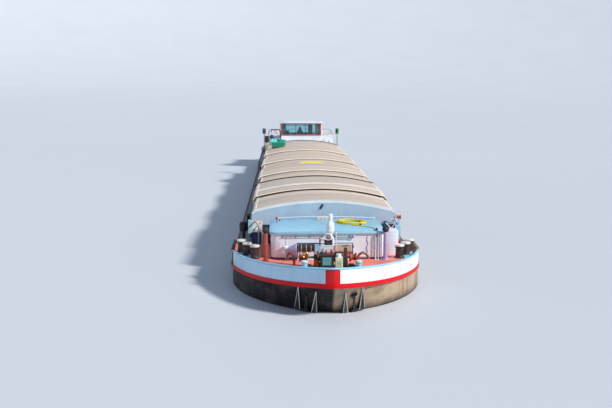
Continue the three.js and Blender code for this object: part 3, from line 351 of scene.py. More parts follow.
def hull_finish(colours):
    """Tar over plates: port side lightened above the water by a dusty coat and a painted sunlit sheen, plain
    dark tar to starboard, wet and weedy at the water, red inside.
    """
    finish = Finish("Hull tar")
    net, place = finish.net, finish.place
    plates = finish.use("plating", Pitch=3.0, Strake=1.08, Dents=1.4)
    ahead, side, height = (net.part(place, i) for i in range(3))
    patchy = net.noise(net.stretch(place, 1.2, 1.2, 3.0), 1.6, 6, 0.65)
    runs = net.noise(net.stretch(place, 9, 9, 0.6), 1.0, 4, 0.6)
    # Port side above the water lightened towards the pale beige: partly real dusting, partly a painted sunlit
    # sheen.
    dust_and_sheen = net.all_of(net.span(side, -0.03, 0.05), net.span(patchy, 0.28, 0.62, 0.55, 1.0),
        net.span(height, 0.84, 1.06, 0.3, 1.0))
    faint = net.times(net.span(patchy, 0.46, 0.74), 0.16)
    tar = net.mix(net.math("MAXIMUM", dust_and_sheen, faint), colours.tar[:], colours.port_dust_and_sheen[:])
    tar = net.mix(net.times(net.span(runs, 0.5, 0.72), 0.5), tar, linear(74, 66, 60))
    scraped = net.times(net.span(net.noise(net.stretch(place, 0.7, 0.7, 7), 2.2, 6, 0.7), 0.6, 0.68), 0.7)
    tar = net.mix(scraped, tar, linear(122, 76, 52))
    wet = net.span(net.plus(height, net.times(patchy, 0.06)), 0.875, 0.93, 1.0, 0.0)
    tar = net.mix(wet, tar, linear(34, 33, 24))
    tar = net.mix(net.span(height, 0.82, 0.85, 1.0, 0.0), tar, linear(86, 38, 30))
    inside = net.all_of(net.within(side, -1.5525, 1.5525), net.within(ahead, HOLD_AFT * SCALE - 0.01,
        HOLD_FRONT * SCALE + 0.01), net.within(height, 0.24, 2.0))
    tar = net.mix(inside, tar, net.mix(net.span(runs, 0.4, 0.7), linear(128, 66, 48), linear(96, 74, 64)))
    rough = net.span(wet, 0.0, 1.0, 0.62, 0.25)
    bumps = net.plus(plates["Height"], net.times(patchy, 0.5))
    return finish.done(tar, rough, bumps, 0.006, 0.7)


def band_finish(colours, sizes):
    """White band round the bow, red across the stem, and a painted sky-blue shade on the white to starboard
    of the stem, forward of midships.
    """
    finish = Finish("Bow white", Coat_Weight=0.1, Coat_Roughness=0.3)
    net, place = finish.net, finish.place
    low, high = ((sizes.stripe_shift + way * sizes.stripe) * SCALE for way in (-1, 1))
    stem = net.times(net.within(net.part(place, 1), low, high), net.math("GREATER_THAN", net.part(place, 0),
        16.0))
    # Painted shade: to starboard of the stripe and forward of midships the white is mixed toward pale sky
    # blue.
    shaded = net.times(net.math("LESS_THAN", net.part(place, 1), low),
        net.math("GREATER_THAN", net.part(place, 0), 0.0))
    white = net.mix(shaded, colours.white[:], linear(184, 217, 240))
    worn = finish.use("weathering", Paint=net.mix(stem, white, colours.red[:]), Dirt=linear(120, 118, 112),
        Bare=linear(128, 66, 40), Dirt_amount=0.16, Chip_amount=0.3, Roughness=0.36)
    return finish.done(worn["Colour"], worn["Roughness"], worn["Height"], 0.003)


def deck_finish(colours):
    finish = Finish("Deck salmon")
    worn = finish.use("weathering", Paint=colours.salmon[:], Dirt=linear(120, 84, 80),
        Bare=linear(96, 56, 44), Dirt_amount=0.4, Chip_amount=0.5, Roughness=0.62)
    tread = finish.use("tread", Wear=0.55)
    colour = finish.net.mix(tread["Worn"], worn["Colour"], linear(232, 150, 138))
    return finish.done(colour, worn["Roughness"], finish.net.plus(worn["Height"], tread["Height"]), 0.003)


def hatch_finish(colours):
    """Dull painted sheets: bands across, streaks down either side, brown stains, and yellow spilt on top."""
    finish = Finish("Hatch sheet", Metallic=0.1)
    net, place = finish.net, finish.place
    bands = net.noise(net.stretch(place, 1.7, 0.04, 0.04), 1.0, 3, 0.6)
    runs = net.noise(net.stretch(place, 10, 0.55, 0.55), 1.0, 4, 0.62)
    fine = net.noise(place, 45, 4, 0.6)
    pale, deep = ([min(1.0, c * k) for c in colours.hatch] for k in (1.13, 0.86))
    sheet = net.mix(net.span(bands, 0.34, 0.66), deep, pale)
    sheet = net.mix(net.times(net.span(runs, 0.5, 0.76), 0.32), sheet, linear(160, 138, 120))
    stain = net.times(net.span(net.noise(net.stretch(place, 4.2, 0.22, 0.22), 1.0, 2, 0.5), 0.6, 0.72), 0.4)
    sheet = net.mix(stain, sheet, linear(172, 134, 110))
    sheet = net.mix(net.times(net.span(fine, 0.5, 0.75), 0.12), sheet, linear(236, 230, 222))
    ragged = net.times(net.math("SUBTRACT", net.noise(net.stretch(place, 1.5, 5, 5), 2.0, 4, 0.6), 0.5), 0.5)
    faint = net.times(net.spot(place, (2.8, -1.1), (0.35, 0.6), ragged), 0.3)
    sheet = net.mix(faint, sheet, linear(214, 196, 110))
    sheet = net.mix(net.spot(place, (3.1, 0.03), (0.3, 0.46), ragged), sheet, linear(255, 236, 56))
    height = net.plus(net.times(bands, 0.8), net.times(fine, 0.15))
    return finish.done(sheet, net.span(fine, 0.3, 0.7, 0.45, 0.62), height, 0.006, 0.5)


def timber(name, draw, colours, dark=0.42):
    finish = Finish(name, Coat_Weight=0.5, Coat_Roughness=0.12)
    wood = finish.use("timber", Draw=draw, Light=colours.mahogany[:],
        Dark=[c * dark for c in colours.mahogany])
    return finish.done(wood["Colour"], wood["Roughness"], wood["Height"], 0.001)


def metal(name, shown, rough, metallic=1.0, spots=(90, 60, 40), amount=0.3):
    finish = Finish(name, Metallic=metallic)
    worn = finish.use("weathering", Paint=linear(*shown), Dirt=linear(*spots), Bare=linear(104, 54, 34),
        Dirt_amount=amount, Chip_amount=amount, Roughness=rough)
    return finish.done(worn["Colour"], worn["Roughness"], worn["Height"], 0.002)


def glass(name, shown):
    finish = Finish(name, Base_Color=linear(*shown), IOR=1.45, Transmission_Weight=0.95)
    smears = finish.net.noise(finish.net.stretch(finish.place, 4, 4, 1), 2.0, 4, 0.6)
    return finish.done(roughness=finish.net.span(smears, 0.4, 0.7, 0.0, 0.05))


def rope_finish(colours):
    finish = Finish("Laid rope", Sheen_Weight=0.3)
    net, place = finish.net, finish.place
    fibre = net.noise(place, 260, 4, 0.7)
    tone = net.noise(place, 5, 3, 0.6)
    yarn = net.mix(net.span(fibre, 0.3, 0.7), [c * 0.72 for c in colours.rope], colours.rope[:])
    yarn = net.mix(net.times(net.span(tone, 0.5, 0.75), 0.35), yarn, linear(170, 160, 96))
    return finish.done(yarn, 0.8, fibre, 0.0015)


LOOK = {}


def make_looks(scene):
    colours, sizes = scene.barge_colours, scene.barge_sizes
    rust = [round(255 * c ** (1 / 2.2)) for c in colours.rust]
    LOOK.update(
        tar=hull_finish(colours),
        white=band_finish(colours, sizes),
        red=paint("Belt red", colours.red[:], 0.45, 0.12, 0.3, (110, 30, 26), coat=0.0),
        rail=paint("Rail blue", colours.rail[:], 0.4, 0.25, 0.5, (96, 128, 140)),
        salmon=deck_finish(colours),
        house=paint("House white", colours.house[:], 0.42, 0.16, 0.12, (184, 184, 196), coat=0.2),
        roof=paint("Roof blue", colours.roof[:], 0.45, 0.3, 0.12, (122, 166, 184)),
        lip=paint("Pale lip", linear(226, 236, 242), 0.4, 0.2, 0.2, (160, 168, 174)),
        navy=paint("Coaming navy", colours.navy[:], 0.48, 0.4, 0.4, (58, 62, 74)),
        hatch=hatch_finish(colours),
        # The lip's paint is lighter than the hatch sheet so that its forward face, which gets less light,
        # matches the sheet: painted light.
        seal=paint("Cover edge", linear(242, 233, 219), 0.6, 0.15, 0.1, (206, 184, 160), coat=0.0),
        cream_edge=paint("Cream edge", linear(248, 236, 210), 0.5, 0.2, 0.1, (196, 172, 140)),
        board=paint("Board blue-grey", colours.board[:], 0.45, 0.35, 0.1, (140, 150, 158), (140, 116, 100)),
        oxide=paint("Red oxide", linear(140, 56, 42), 0.6, 0.5, 0.6, (62, 36, 32), rust),
        iron=paint("Black iron", linear(42, 36, 36), 0.55, 0.5, 0.9, (104, 62, 42), rust),
        rusty=paint("Rusty brown", linear(112, 52, 38), 0.6, 0.5, 0.5, (62, 36, 30), (44, 32, 30)),
        brick=paint("Brick red", linear(168, 72, 52), 0.55, 0.35, 0.3, (96, 44, 36), (70, 40, 34)),
        cap=paint("Cap white", linear(232, 226, 220), 0.5, 0.3, 0.4, (164, 146, 128)),
        orange=paint("Orange machinery", linear(178, 70, 34), 0.5, 0.5, 0.5, (84, 40, 26), (52, 34, 28)),
        turquoise=paint("Turquoise panel", linear(84, 158, 156), 0.4, 0.25, 0.15),
        pale_green=paint("Pale green box", linear(222, 230, 190), 0.5, 0.25, 0.15, (150, 150, 120)),
        canvas=paint("Canvas", linear(222, 200, 172), 0.85, 0.35, 0.0, (166, 138, 112), coat=0.0),
        # Lavender: the day-signal cone's own colour, and on the port vent the painted shade of its white
        # paint.
        lilac=paint("Lilac grey", linear(176, 168, 206), 0.5, 0.3, 0.1, (120, 112, 140)),
        anchor=paint("Anchor tar", linear(26, 26, 32), 0.5, 0.35, 0.3, (120, 104, 90), (130, 92, 66)),
        rubber=paint("Rubber", linear(26, 25, 27), 0.7, 0.3, 0.0, (80, 70, 64), coat=0.0),
        mahogany=timber("Mahogany rail", (12.0, 1.0, 12.0), colours),
        door=timber("Mahogany door", (12.0, 12.0, 1.2), colours),
        rope=rope_finish(colours),
        dinghy=paint(
            "Dinghy green", colours.dinghy[:], 0.25, 0.2, 0.08, (30, 96, 84), (190, 220, 210), coat=0.5),
        aqua=paint("Dinghy inside", linear(96, 214, 196), 0.4, 0.25, 0.05, (50, 130, 116)),
        bronze=metal("Bronze", (168, 124, 66), 0.28, 1.0, (96, 78, 46), 0.4),
        brass=metal("Brass", (196, 156, 74), 0.3, 1.0, (96, 70, 30), 0.35),
        steel=metal("Galvanised steel", (156, 160, 164), 0.45, 0.9, (110, 100, 92), 0.3),
        glass=glass("Window glass", (196, 238, 244)),
        green=paint("Light board green", linear(52, 128, 44), 0.5, 0.2, 0.1),
        grey=paint("Light board grey", linear(92, 98, 102), 0.5, 0.2, 0.1),
        dark=paint("Interior", linear(40, 38, 42), 0.7, 0.2, 0.0, coat=0.0),
        sidedeck=paint("Side deck", linear(84, 96, 118), 0.7, 0.5, 0.5, (58, 60, 66)),
        lamp_red=paint("Lamp red", linear(196, 20, 24), 0.2, 0.1, 0.0, coat=0.8),
    )
    for dull in ("red", "tar", "white"):
        LOOK[dull].node_tree.nodes["Principled BSDF"].inputs["Specular IOR Level"].default_value = DULL


# Meshes
PLANES = {"yz": lambda u, v, w: (w, u, v), "xz": lambda u, v, w: (u, w, v), "xy": lambda u, v, w: (u, v, w)}
AXES = {"z": lambda u, v, w: (u, v, w), "y": lambda u, v, w: (v, w, u), "x": lambda u, v, w: (w, u, v)}


def turns(count):
    """Angles of count even steps round a circle."""
    return [2 * pi * i / count for i in range(count)]


def drum(radius, low, high):
    """Profile of a plain round bar or disc."""
    return [(0, low), (radius, low), (radius, high), (0, high)]


def placed(where, angle, axis):
    """A turn about an axis, then a move to a place."""
    return Matrix.Translation(where) @ Matrix.Rotation(angle, 4, axis)


class Form:
    """Collects points and faces, in full-size metres. Ink is the material's place in the piece's list."""

    def __init__(self):
        self.points, self.faces, self.inks = [], [], []

    def skin(self, rings, closed=True, capped=True, ink=0, turn=None):
        """Skins rings of points from one to the next; a ring of one point is a tip."""
        starts = []
        for ring in rings:
            starts.append(len(self.points))
            self.points.extend((turn @ Vector(p)) if turn else Vector(p) for p in ring)
        made = []
        for (a, first), (b, second) in zip(zip(starts, rings), zip(starts[1:], rings[1:])):
            count = max(len(first), len(second))
            for i in range(count if closed else count - 1):
                j = (i + 1) % count
                if len(first) == 1:
                    made.append((a, b + j, b + i))
                elif len(second) == 1:
                    made.append((a + i, a + j, b))
                else:
                    made.append((a + i, a + j, b + j, b + i))
        if capped and closed:
            for start, ring in ((starts[0], rings[0]), (starts[-1], rings[-1])):
                if len(ring) > 2:
                    made.append(tuple(range(start, start + len(ring))))
        self.faces.extend(made)
        self.inks.extend([ink] * len(made))
        return self

    def sheet(self, rings, ink=0):
        """An open skin, with no end faces."""
        return self.skin(rings, closed=False, capped=False, ink=ink)

    def lid(self, ring, ink=0):
        """One face over a ring."""
        self.faces.append(tuple(range(len(self.points), len(self.points) + len(ring))))
        self.points.extend(ring)
        self.inks.append(ink)

    def box(self, x0, x1, y0, y1, z0, z1, ink=0, turn=None):
        y0, y1 = sorted((y0, y1))
        rings = [[(x0, y0, z), (x1, y0, z), (x1, y1, z), (x0, y1, z)] for z in (z0, z1)]
        return self.skin(rings, ink=ink, turn=turn)

    def block(self, x, half_long, y, half_wide, z0, z1, ink=0):
        """A box centred on (x, y)."""
        return self.box(x - half_long, x + half_long, y - half_wide, y + half_wide, z0, z1, ink)

    def prism(self, plane, outline, low, high, ink=0, turn=None):
        """An outline of (u, v) pushed through: plane yz along X, xz along Y, xy along Z."""
        return self.skin([[PLANES[plane](u, v, w) for u, v in outline] for w in (low, high)], ink=ink,
            turn=turn)

    def border(self, plane, u0, u1, v0, v1, width, low, high, ink=0):
        """A flat frame round an opening, its width outside the opening."""
        corners = [(u0, v0, -1, -1), (u1, v0, 1, -1), (u1, v1, 1, 1), (u0, v1, -1, 1), (u0, v0, -1, -1)]
        rings = []
        for u, v, a, b in corners:
            wide = (u + a * width, v + b * width)
            rings.append([PLANES[plane](*p, w) for p, w in (((u, v), low), ((u, v), high), (wide, high),
                (wide, low))])
        return self.skin(rings, capped=False, ink=ink)

    def wrap(self, plan, section, ink=0):
        """A moulding round a plan: plan(out) gives its outline grown by out, section lists (out, z)."""
        outlines = {out: plan(out) for out, _ in section}
        count = len(plan(0.0))
        rings = [[(*outlines[out][i % count], z) for out, z in section] for i in range(count + 1)]
        return self.skin(rings, capped=False, ink=ink)

    def lathe(self, profile, centre=(0, 0, 0), axis="z", sides=28, ink=0, turn=None, soft=0.0):
        """Turns a profile of (radius, height) about an axis through the centre, corners rounded by soft."""
        rings = []
        profile = round_profile(profile, soft) if soft else profile
        for radius, height in profile:
            ring = [(0.0, 0.0, height)] if radius < 1e-5 else [
                (radius * cos(a), radius * sin(a), height) for a in turns(sides)]
            rings.append([Vector(centre) + Vector(AXES[axis](*p)) for p in ring])
        return self.skin(rings, ink=ink, turn=turn)

    def ball(self, centre, radius, ink=0, sides=20):
        arc = [pi * i / 12 for i in range(13)]
        return self.lathe([(radius * sin(a), -radius * cos(a)) for a in arc], centre, sides=sides, ink=ink)

    def tube(self, path, radius, sides=12, ink=0, end_radius=None):
        """A round bar along a path."""
        path = [Vector(p) for p in path]
        end_radius = radius if end_radius is None else end_radius
        rings, side = [], None
        for i, here in enumerate(path):
            ahead = (path[min(i + 1, len(path) - 1)] - path[max(i - 1, 0)]).normalized()
            side = ahead.orthogonal() if side is None else side
            side = (side - ahead * side.dot(ahead)).normalized()
            other = ahead.cross(side)
            r = radius + (end_radius - radius) * i / max(1, len(path) - 1)
            rings.append([here + r * (cos(t) * side + sin(t) * other) for t in turns(sides)])
        return self.skin(rings, ink=ink)

    def rod(self, a, b, radius, sides=12, ink=0, end_radius=None):
        """A straight round bar between two points."""
        return self.tube([a, b], radius, sides, ink, end_radius)

    def post(self, x, y, low, high, radius, sides=12, ink=0):
        """An upright round bar."""
        return self.rod((x, y, low), (x, y, high), radius, sides, ink)

    def hoop(self, centre, radius, thick, axis="z", sides=32, around=10, ink=0, stretch=1.0, turn=None):
        """A ring of round bar, longer one way by stretch."""
        rings = []
        for a in [*turns(sides), 0.0]:
            rings.append([Vector(centre) + Vector(AXES[axis](
                (radius * stretch + thick * cos(b)) * cos(a), (radius + thick * cos(b)) * sin(a),
                thick * sin(b))) for b in turns(around)])
        return self.skin(rings, capped=False, ink=ink, turn=turn)

    def chain(self, path, bar, ink=0):
        """Links of round bar along a path, each a quarter turn on from the last."""
        line, _ = respaced([Vector(p) for p in path], bar * 3.6)
        for i, (a, b) in enumerate(zip(line, line[1:])):
            ahead = (b - a).normalized()
            frame_turn = ahead.to_track_quat("X", "Z").to_matrix().to_4x4()
            roll = Matrix.Rotation(pi / 4 + pi / 2 * (i % 2), 4, "X")
            place = Matrix.Translation((a + b) / 2) @ frame_turn @ roll
            self.hoop((0, 0, 0), bar * 1.5, bar * 0.5, sides=14, around=6, ink=ink, stretch=1.5, turn=place)
        return self


def curve(points, steps=8):
    """A smooth line through points."""
    points = [Vector(p) for p in points]
    whole = [2 * points[0] - points[1], *points, 2 * points[-1] - points[-2]]
    line = []
    for a, b, c, d in zip(whole, whole[1:], whole[2:], whole[3:]):
        for i in range(steps):
            t = i / steps
            line.append(0.5 * (2 * b + (c - a) * t + (2 * a - 5 * b + 4 * c - d) * t * t
                               + (3 * b - a - 3 * c + d) * t ** 3))
    return [*line, points[-1]]


def respaced(line, step):
    """The same line with points a step apart, and its length."""
    lengths = [0.0]
    for a, b in zip(line, line[1:]):
        lengths.append(lengths[-1] + (b - a).length)
    count = max(2, round(lengths[-1] / step))
    done, k = [], 0
    for i in range(count + 1):
        at = lengths[-1] * i / count
        while k < len(line) - 2 and lengths[k + 1] < at:
            k += 1
        share = (at - lengths[k]) / max(1e-9, lengths[k + 1] - lengths[k])
        done.append(line[k].lerp(line[k + 1], min(1.0, share)))
    return done, lengths[-1]


def round_profile(profile, radius, steps=3):
    """Rounds the corners of a profile."""
    done = [profile[0]]
    for i in range(1, len(profile) - 1):
        before, here, after = (Vector(p) for p in profile[i - 1:i + 2])
        reach = min(radius, (here - before).length / 2.2, (after - here).length / 2.2)
        if reach < 1e-6:
            done.append(tuple(here))
            continue
        start, end = here + (before - here).normalized() * reach, here + (after - here).normalized() * reach
        for k in range(steps + 1):
            t = k / steps
            done.append(tuple((1 - t) ** 2 * start + 2 * t * (1 - t) * here + t * t * end))
    return [*done, profile[-1]]


def make_piece(form, name, looks, body=HULL, replaces=(), edge=0.0, crease=35.0):
    """Makes the form a mesh at model size, riding on its body."""
    mesh = bpy.data.meshes.new(name)
    mesh.from_pydata([p * SCALE for p in form.points], [], form.faces)
    for look in looks if isinstance(looks, (list, tuple)) else [looks]:
        mesh.materials.append(LOOK[look])
    mesh.polygons.foreach_set("material_index", form.inks)
    finish_mesh(mesh, crease)
    piece = bpy.data.objects.new(name, mesh)
    bpy.context.scene.collection.objects.link(piece)
    if edge:
        ease(piece, edge)
    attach(piece, body)
    if replaces:
        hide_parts(*replaces)
    return piece


def finish_mesh(mesh, crease):
    work = bmesh.new()
    work.from_mesh(mesh)
    bmesh.ops.remove_doubles(work, verts=work.verts, dist=1e-6)
    bmesh.ops.recalc_face_normals(work, faces=work.faces)
    for face in work.faces:
        face.smooth = True
    for rim in work.edges:
        rim.smooth = len(rim.link_faces) == 2 and rim.calc_face_angle(0.0) < radians(crease)
    work.to_mesh(mesh)
    work.free()


def ease(piece, width):
    """Eases the piece's sharp edges."""
    bevel = piece.modifiers.new("Eased edges", "BEVEL")
    bevel.width = width * SCALE
    bevel.segments = 2
    bevel.limit_method = "ANGLE"
    bevel.angle_limit = radians(40)
    bevel.harden_normals = True


def dress(look, *nodes, edge=0.0):
    """Gives CAD nodes their finish, and eased edges."""
    for name in nodes:
        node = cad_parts[name]
        node.data.materials.clear()
        node.data.materials.append(LOOK[look])
        node.data.polygons.foreach_set("use_smooth", [True] * len(node.data.polygons))
        weld = node.modifiers.new("Weld", "WELD")
        weld.merge_threshold = 1e-5
        if edge:
            ease(node, edge)
        else:
            split = node.modifiers.new("Crisp edges", "EDGE_SPLIT")
            split.split_angle = radians(35)


# Hull lines: height, half breadth, shoulder, tip and exponent. The last is the deck's.
BOW_LINES = [
    (0.0, 3.6, 25.4, 30.6, 1.6), (0.1, 3.86, 25.7, 31.0, 1.64), (0.35, 4.04, 26.0, 31.35, 1.7),
    (0.9, 4.04, 26.4, 31.8, 1.75), (1.7, 4.04, 26.76, 32.2, 1.767), (2.3, 4.04, 26.87, 32.75, 1.6),
    (2.9, 4.04, 26.98, 33.34, 1.456), (2.99, 4.04, 26.98, 33.4, 1.456),
]
STERN_LINES = [
    (0.0, 3.6, -21.5, -27.4, 1.5), (0.1, 3.86, -21.9, -27.8, 1.52), (0.35, 4.04, -22.4, -28.2, 1.55),
    (0.9, 4.04, -23.6, -28.9, 1.6), (1.56, 4.04, -25.4, -29.6, 1.8), (1.72, 4.04, -27.0, -32.7, 2.1),
    (2.3, 4.04, -27.4, -33.25, 2.3), (3.04, 4.04, -27.5, -33.4, 2.3),
]


def mixed(a, b, share):
    return a + (b - a) * share


def along(x, start, end):
    return min(max((x - start) / (end - start), 0.0), 1.0)


def rim_height(x):
    return mixed(RIM, STEM_RIM, along(x, 26.98, TIP) ** 2)


def deck_height(x):
    return mixed(DECK, STEM_DECK, along(x, DECK_RISE, TIP) ** 2)


def side_deck(x):
    forward, aft = along(x, HOLD_FRONT - RAMP, HOLD_FRONT), along(x, HOLD_AFT + RAMP, HOLD_AFT)
    return SIDE_DECK + forward * (DECK - SIDE_DECK) + aft * (STERN_DECK - SIDE_DECK)


def side_line(half, shoulder, tip, exponent, station, steps):
    """Port side of a waterline, from the station to the tip."""
    side = [(station, half)]
    for i in range(steps):
        turn = pi / 2 * i / steps
        side.append((shoulder + (tip - shoulder) * sin(turn) ** (2 / exponent),
            half * cos(turn) ** (2 / exponent)))
    return [*side, (tip, 0.0)]


def inset_line(line, inset, station, steps):
    """Port side of a hull end's plan, set in by inset."""
    return side_line(line["half"] - inset, line["shoulder"], line["tip"] - copysign(inset, line["tip"]),
        line["exponent"], station, steps)


def both_sides(side):
    return [*side, *((x, -y) for x, y in reversed(side[:-1]))]


def fair(lines, steps):
    """Waterlines between the given ones, on smooth curves."""
    rows = [lines[0], *lines, lines[-1]]
    done = []
    for a, b, c, d in zip(rows, rows[1:], rows[2:], rows[3:]):
        for i in range(steps):
            t = i / steps
            row = []
            for p, q, r, s in zip(a, b, c, d):
                left, middle, right = q - p, r - q, s - r
                start = 0.0 if left * middle <= 0 else min(abs(left), abs(middle)) * copysign(1, middle)
                end = 0.0 if right * middle <= 0 else min(abs(right), abs(middle)) * copysign(1, middle)
                row.append(q + start * t + (3 * middle - 2 * start - end) * t * t
                           + (start + end - 2 * middle) * t ** 3)
            done.append(tuple(row))
    return [*done, lines[-1]]


def decked(form, side):
    """Faces from side to side, between the port points given and their mirror images."""
    form.sheet([[(x, y, z), (x, -y, z)] for x, y, z in side[:-1]] + [[side[-1]]])


def hull_end(form, lines, station, deck, steps):
    """Shell of a hull end with its deck."""
    sides = [[(x, y, z) for x, y in side_line(half, shoulder, tip, exponent, station, steps)]
        for z, half, shoulder, tip, exponent in fair(lines, 4)]
    sides.append([(x, y, deck(x)) for x, y, _ in sides[-1]])
    rings = [[*side, *((x, -y, z) for x, y, z in reversed(side[:-1]))] for side in sides]
    form.sheet(rings)
    decked(form, sides[0])
    decked(form, sides[-1])
    form.sheet([[(x, y, z), (x, -y, z)] for x, y, z in (side[0] for side in sides)])


def strake(form, line, station, section, height, steps, ink=0):
    """A band round a hull end: section gives (inset from the beam, height over the line)."""
    plans = {inset: both_sides(inset_line(line, inset, station, steps)) for inset, _ in section}
    outermost = plans[min(plans)]
    rings = [[(*plans[inset][i], height(outermost[i][0]) + lift) for inset, lift in section]
        for i in range(len(outermost))]
    form.skin(rings, ink=ink)


def tarred_aft(form):
    """Gives the faces aft of the paint's end the second ink."""
    for i, face in enumerate(form.faces):
        if sum(form.points[corner].x for corner in face) < PAINT_END * len(face):
            form.inks[i] = 1


def bow_surface(y, z):
    """A point of the bow's shell."""
    above = next(i for i, line in enumerate(BOW_LINES) if line[0] > z)
    low, high = BOW_LINES[above - 1], BOW_LINES[above]
    share = (z - low[0]) / (high[0] - low[0])
    half, shoulder, tip, exponent = (mixed(a, b, share) for a, b in zip(low[1:], high[1:]))
    return Vector((shoulder + (tip - shoulder) * (1 - (abs(y) / half) ** exponent) ** (1 / exponent), y, z))


def circle_of(shape):
    """Radius and centre height of an arch's circle."""
    half, edge, crown = shape
    rise = crown - edge
    radius = (half ** 2 + rise ** 2) / (2 * rise)
    return radius, crown - radius


def arch_at(shape, y):
    radius, centre = circle_of(shape)
    return centre + sqrt(radius ** 2 - y ** 2)


def arch(shape, steps, lift=0.0, narrower=0.0, shoulder=0.0):
    """Points of an arch from port to starboard, rounded down at its two shoulders."""
    radius, centre = circle_of(shape)
    half = shape[0]
    sweep = asin(half / radius)
    points = []
    for i in range(steps + 1):
        turn = sweep * (1 - 2 * i / steps)
        y, z = (radius + lift) * sin(turn), centre + (radius + lift) * cos(turn)
        over = abs(y) - (half - shoulder)
        if shoulder and over > 0:
            z -= shoulder - sqrt(max(0.0, shoulder ** 2 - min(over, shoulder) ** 2))
        points.append((y * (1 - narrower / half), z))
    return points


def roof_height(y):
    return arch_at((HOUSE_HALF + 0.07, ROOF_EDGE, ROOF_CROWN), y)


def house_plan(out):
    """The bow house's plan grown by out, rounded at its front corners."""
    radius, half, front = HOUSE_CORNER + out, HOUSE_HALF + out, HOUSE_FRONT + out
    points = [(HOUSE_AFT - out, -half)]
    for side, start in ((-1, -90), (1, 0)):
        for i in range(9):
            turn = radians(start + 90 * i / 8)
            points.append((front - radius + radius * cos(turn), side * (half - radius) + radius * sin(turn)))
    return [*points, (HOUSE_AFT - out, half)]


def make_floor(scene):
    """A pale floor, open under the hold, that curves up far away into a low wall."""
    finish = Finish("Pale floor")
    tone = finish.net.noise(finish.place, 0.05, 2, 0.5)
    look = finish.done(finish.net.mix(tone, linear(204, 210, 218), linear(212, 217, 224)), 0.6)
    flat, reach, height = 260.0, 900.0, 330.0
    profile = [(120.0, 0.0)]
    profile.extend((mixed(flat, reach, i / 16), height * (i / 16) ** 2.4) for i in range(17))
    level = WATERLINE * SCALE
    middle = (HOLD_FRONT + HOLD_AFT) / 2 * SCALE
    half_long = ((HOLD_FRONT - HOLD_AFT) / 2 + 0.3) * SCALE
    half_wide = 3.4 * SCALE
    square = [(cos(a), sin(a)) for a in turns(72)]
    square = [(u / max(abs(u), abs(v)), v / max(abs(u), abs(v))) for u, v in square]
    form = Form()
    rings = [[(r * cos(a), r * sin(a), z + level) for a in turns(72)] for r, z in profile]
    form.skin([[(middle + half_long * u, half_wide * v, level) for u, v in square], *rings], capped=False)
    mesh = bpy.data.meshes.new("Floor")
    mesh.from_pydata(form.points, [], form.faces)
    mesh.materials.append(look)
    mesh.polygons.foreach_set("use_smooth", [True] * len(mesh.polygons))
    floor = bpy.data.objects.new("Floor", mesh)
    scene.collection.objects.link(floor)


def make_camera(scene):
    """The photograph's view."""
    lens = bpy.data.cameras.new("Photo view")
    lens.sensor_width = SENSOR
    lens.lens = FOCAL_PIXELS / PHOTO_WIDTH * SENSOR
    lens.clip_end = 3000.0
    camera = bpy.data.objects.new("Photo view", lens)
    turn, dip = CAMERA_TURN, CAMERA_DIP
    ahead = Vector((-cos(turn) * cos(dip), sin(turn) * cos(dip), -sin(dip)))
    camera.rotation_euler = ahead.to_track_quat("-Z", "Y").to_euler()
    camera.location = Vector(CAMERA_AT) * SCALE
    scene.collection.objects.link(camera)
    scene.camera = camera


def make_light(scene):
    """A soft key light, and an even light all round."""
    light = scene.barge_light
    key = bpy.data.lights.new("Key", "SUN")
    key.energy = light.key
    key.angle = radians(7)
    key.color = (1.0, 0.965, 0.91)
    sun = bpy.data.objects.new("Key", key)
    level = cos(light.height)
    towards = Vector((level * cos(light.bearing), level * sin(light.bearing), sin(light.height)))
    sun.rotation_euler = towards.to_track_quat("Z", "Y").to_euler()
    sun.location = towards * 60
    scene.collection.objects.link(sun)
    world = bpy.data.worlds.new("Studio")
    world.use_nodes = True
    backdrop = world.node_tree.nodes["Background"]
    backdrop.inputs["Color"].default_value = (*linear(192, 216, 248), 1.0)
    backdrop.inputs["Strength"].default_value = light.fill
    scene.world = world


class BARGE_OT_stage(bpy.types.Operator):
    """Camera at the photograph's view, the pale floor at the waterline, and soft studio light"""
    bl_idname = "barge.stage"
    bl_label = "Stage"

    def execute(self, context):
        make_camera(context.scene)
        make_floor(context.scene)
        make_light(context.scene)
        context.scene.view_settings.view_transform = "Standard"
        return {"FINISHED"}


class BARGE_OT_finishes(bpy.types.Operator):
    """Paints, woods, metals and glass"""
    bl_idname = "barge.finishes"
    bl_label = "Finishes"

    def execute(self, context):
        make_effects()
        make_looks(context.scene)
        return {"FINISHED"}


# Rope on the bow house roof, as the part's source lays it
COIL_X, COIL_Y, COIL, COIL_WIDTH = 26.66, 1.15, 0.54, 0.16
CLEAT_X, CLEAT_Y = 28.6, 2.05
LEAD = [(28.45, 2.05), (28.14, 2.0), (27.86, 1.86), (27.68, 1.62), (27.6, 1.38), (27.5, 1.2)]


